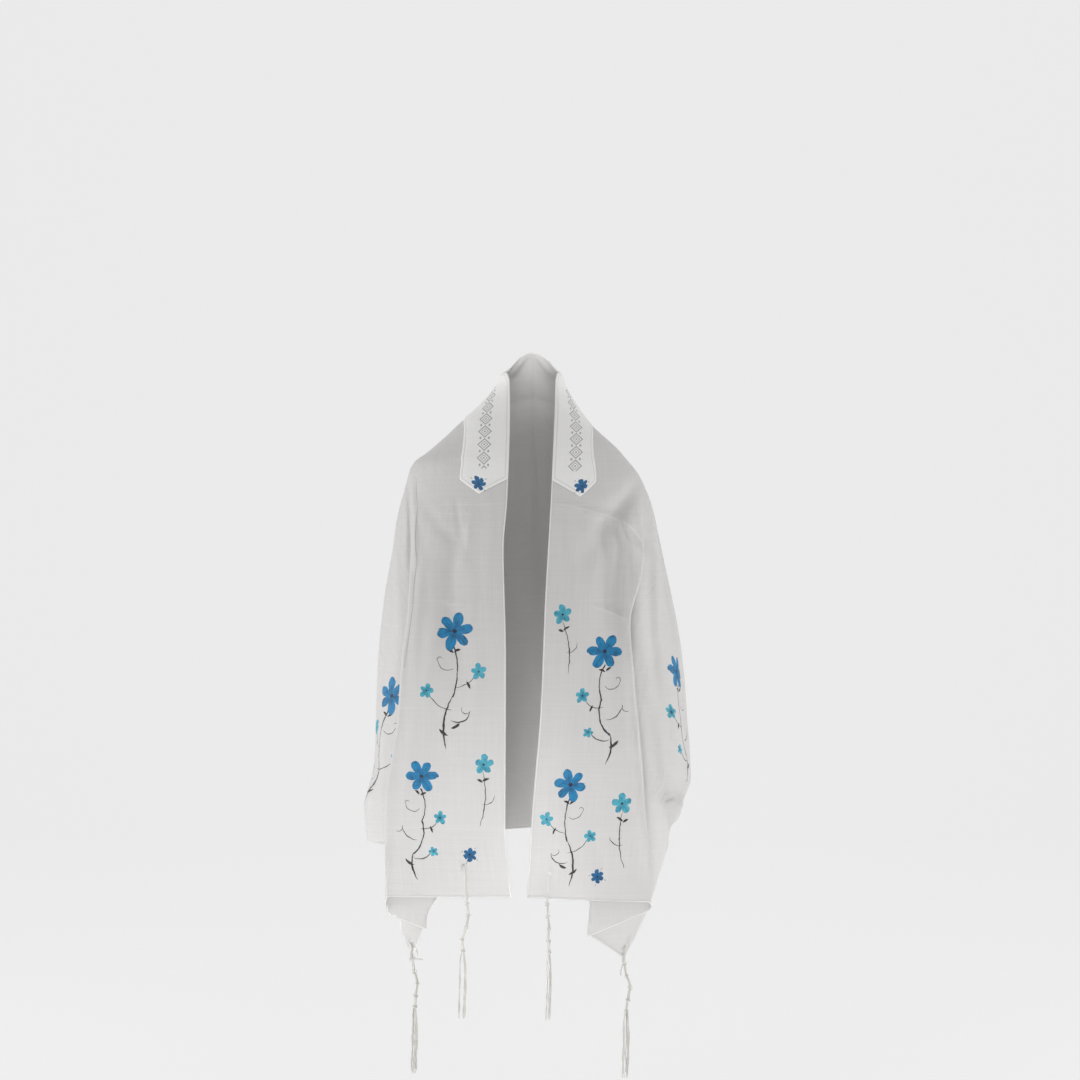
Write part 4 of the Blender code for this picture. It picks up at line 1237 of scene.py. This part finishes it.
def buildTassel(hole, finish):
    kind, side = hole["tassel"], hole["side"]
    column = columnOf(hole["place"])
    edge = float(lowerDrop(side, column))
    nearby = clothPoints(side, column + np.array((-0.2, 0.0, 0.2)), edge)
    out = np.cross(nearby[2] - nearby[0], (0, 0, -1)) * (-1 if side == "right" else 1)
    out[2] = 0
    out /= np.linalg.norm(out)
    across = np.cross((0, 0, 1), out)
    right, down = np.array((1.0, 0, 0)), np.array((0.0, 0, -1))
    top = nearby[1] + tassel["loopDrop"] * down
    sway, spread, parted = [tassel[name][kind] for name in ("sway", "spread", "parted")]

    def middle(share):
        share = np.asarray(share, float)
        x = np.interp(share * (len(sway) - 1), range(len(sway)), sway)
        return top + x[..., None] * right + (tassel["head"] * share)[..., None] * down

    def cord(path, reach, sides=8):
        return tube(sweep(path, reach, tassel["twist"], 0.22, sides, out * 0.9 + across * 0.3))

    shells = []
    # the doubled cord: two lines up the front, over the eyelet's lower edge and down the back
    leg = np.linspace(edge + 0.008, hole["drop"] + tassel["loopReach"], 14)
    below = np.maximum(leg - edge, 0)
    face = clothPoints(side, column, leg - below) + below[:, None] * down
    face[-1] = face[-1] * 0.5 + np.array(hole["centre"]) * 0.5 + 0.0012 * down
    turn = np.linspace(0, math.pi, 9)[1:-1, None]
    over = face[-1] + (np.cos(turn) * out - np.sin(turn) * down) * tassel["loopReach"]
    away = out * tassel["loopReach"]
    for shift in (-tassel["legShift"], tassel["legShift"]):
        path = np.concatenate((face + away, over, (face - away)[::-1])) + across * shift
        path[:2] -= out * np.array((0.0016, 0.0006))[:, None]
        path[-2:] += out * np.array((0.0006, 0.0016))[:, None]
        shells.append(cord(path, tassel["legCord"]))
    # the core, the windings between the knots and the double knots
    shells.append(tube(sweep(middle(np.linspace(-0.04, 1.0, 30)), tassel["core"], 260, 0.1, 10, out)))
    radius = tassel["core"] + tassel["winding"] * 0.7
    for low, high, turns in zip(tassel["knots"], tassel["knots"][1:], tassel["windings"]):
        low, high = low + tassel["knotGap"], high - tassel["knotGap"]
        part = np.linspace(0, 1, turns * 14 + 1)
        angle = 2 * math.pi * turns * part[:, None]
        path = middle(low + (high - low) * part) + radius * (np.cos(angle) * across + np.sin(angle) * out)
        shells.append(tube(sweep(path, tassel["winding"], 900, 0.12, 6, (0, 0, 1))))
    bump = np.linspace(-1, 1, 9)[:, None]
    for number, knot in enumerate(tassel["knots"]):
        centre = middle(knot)
        turn = np.linspace(0, 2 * math.pi, 23)[:-1, None] + number
        for way in (1, -1):
            tilt, drop = way * tassel["knotTilt"], -way * tassel["knotHalf"]
            beat = 2 * turn + 1.9 * number + tilt
            wide = tassel["knotRing"] * (1 + tassel["knotUneven"] * np.cos(beat))
            ring = (centre + down * drop + wide * np.cos(turn) * across + wide * np.sin(turn) * out
                    + tilt * wide * np.cos(turn + 0.6 * number) * down)
            shells.append(closedRing(ring, tassel["knotCord"], down))
        path = (centre + bump * 0.0026 * down + 0.0022 * bump * across
                + (0.003 + 0.001 * (1 - bump ** 2)) * out)
        shells.append(cord(path, tassel["knotCord"] * 0.9, 6))
    # eight strands, in three rows without the middle one
    t = np.linspace(0, 1, 64)[:, None]
    for number in (0, 1, 2, 3, 5, 6, 7, 8):
        a, b = divmod(number, 3)
        length = tassel["length"] * (1 - tassel["uneven"] * (number * 3 % 5))
        apart = spread * np.sin(math.pi * tassel["flare"] * t) + tassel["rowGap"] * (1 - 0.1 * t)
        shake, nod = tassel["shake"]
        wave = tassel["wave"] * np.sin(5 * t) * t + shake * np.sin(17 * t + number * 1.7) * np.sqrt(t)
        bundle = (-1 if a == 0 else 0.6) * parted * np.minimum(t / tassel["gather"], 1) ** 0.7
        path = (middle(1.0) + ((a - 1) * apart + wave + bundle) * across
                + ((b - 1) * apart + nod * np.sin(13 * t + number)) * out + (length * t - 0.003) * down)
        shells.append(cord(path, tassel["strand"] * (1 - 0.25 * np.maximum(t[:, 0] - 0.97, 0) / 0.03)))
    for knots in tassel["loose"].get(kind, ()):
        t = np.linspace(0, len(knots) - 1, 24)
        rounded = [np.convolve(np.pad(part, 1, "edge"), (0.12, 0.76, 0.12), "valid")
                   for part in np.transpose(knots)]
        path = np.stack([np.interp(t, range(len(knots)), part) for part in rounded], axis=-1)
        path[1:-1] = (path[:-2] + path[1:-1] + path[2:]) / 3
        path = top + path[:, :1] * right + path[:, 1:2] * out - path[:, 2:] * down
        shells.append(cord(path, tassel["looseCord"]))
    piece = joinShells(kind + "Tassel", shells, finish)
    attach(piece, "root")
    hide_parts(hole["node"])
    return piece


def closedRing(path, reach, up):
    # a closed loop of cord
    ahead = unit(np.roll(path, -1, axis=0) - np.roll(path, 1, axis=0))
    side = unit(np.cross(ahead, up))
    other, angle = np.cross(side, ahead), evenTurns(7)[:, None]
    return hoop(path[:, None] + reach * (np.cos(angle) * side[:, None] + np.sin(angle) * other[:, None]))


cordFinish = threadMaterial("twistedCord", *tassel["threads"])
tassels = [buildTassel(hole, cordFinish) for hole in holes]
print("knotted tassels:", [len(piece.data.polygons) for piece in tassels])


# Camera, light and room.
view = {"x": 0.01566, "z": -0.28884, "distance": 3.5, "metresPerPixel": 0.00174, "pixels": 1080}


def makeCamera():
    place = (view["x"], -view["distance"], view["z"])
    bpy.ops.object.camera_add(location=place, rotation=(math.pi / 2, 0, 0))
    camera = bpy.context.object
    camera.name = "frontView"
    camera.data.sensor_width = 36.0
    camera.data.lens = 36.0 * view["distance"] / (view["pixels"] * view["metresPerPixel"])
    bpy.context.scene.camera = camera


def softBox(name, location, size, power, aim=(0, 0, -0.45), spread=180):
    bpy.ops.object.light_add(type="AREA", location=location)
    lamp = bpy.context.object
    lamp.name = name
    lamp.data.shape = "RECTANGLE"
    lamp.data.size, lamp.data.size_y = size
    lamp.data.energy = power
    lamp.data.spread = math.radians(spread)
    lamp.rotation_euler = (Vector(aim) - lamp.location).to_track_quat("-Z", "Y").to_euler()
    return lamp


room = {"size": 16, "height": 9, "rounding": 1.6, "floorDrop": -1.42, "colour": (0.12, 0.12, 0.12),
        "glow": 0.756, "ambient": 0.5}


def selectEdges(sheet, wanted):
    mesh = bmesh.from_edit_mesh(sheet)
    for edge in mesh.edges:
        edge.select = all(wanted(corner.co) for corner in edge.verts)
    bmesh.update_edit_mesh(sheet)


def makeRoom():
    # a seamless sweep: a plane whose far side is extruded up and rounded
    far = room["size"] / 2 - 0.1
    bpy.ops.mesh.primitive_plane_add(size=room["size"], location=(0, -4, room["floorDrop"]))
    sweep = bpy.context.object
    sweep.name = "paleSweep"
    bpy.ops.object.mode_set(mode="EDIT")
    bpy.ops.mesh.select_all(action="DESELECT")
    selectEdges(sweep.data, lambda place: place.y > far)
    bpy.ops.mesh.extrude_region_move(TRANSFORM_OT_translate={"value": (0, 0, room["height"])})
    selectEdges(sweep.data, lambda place: place.y > far and abs(place.z) < 0.01)
    bpy.ops.mesh.bevel(offset=room["rounding"], segments=16, affect="EDGES")
    bpy.ops.object.mode_set(mode="OBJECT")
    bpy.ops.object.shade_smooth()
    finish, _, shader = newMaterial("palePaper", 0.9, 0.1)
    shader.inputs["Base Color"].default_value = (*room["colour"], 1)
    shader.inputs["Emission Color"].default_value = (1, 1, 1, 1)
    shader.inputs["Emission Strength"].default_value = room["glow"]
    sweep.data.materials.append(finish)
    world = bpy.data.worlds.new("studio")
    world.use_nodes = True
    world.node_tree.nodes["Background"].inputs["Color"].default_value = (1.0, 1.0, 1.0, 1)
    world.node_tree.nodes["Background"].inputs["Strength"].default_value = room["ambient"]
    bpy.context.scene.world = world


makeCamera()
makeRoom()
softBox("keyLight", (-1.9, -2.0, 1.2), (0.8, 0.8), 8.5)
softBox("leftLight", (-2.8, -0.3, -0.7), (1.2, 1.6), 32)
softBox("rightLight", (2.8, -0.4, -0.8), (1.2, 1.6), 34)
softBox("lowLight", (0.2, -2.2, -1.25), (1.6, 0.6), 7.5, aim=(0, 0, -0.85))
softBox("hemLight", (-0.22, -2.2, -0.8), (0.5, 0.2), 0.32, aim=(-0.06, 0, -0.85), spread=24)
softBox("napeLight", (0.0, -1.3, 0.3), (0.12, 0.12), 0.026, aim=(0, 0.05, 0.042), spread=7)
bpy.context.scene.view_settings.view_transform = "Standard"
print("camera, lights and sweep")
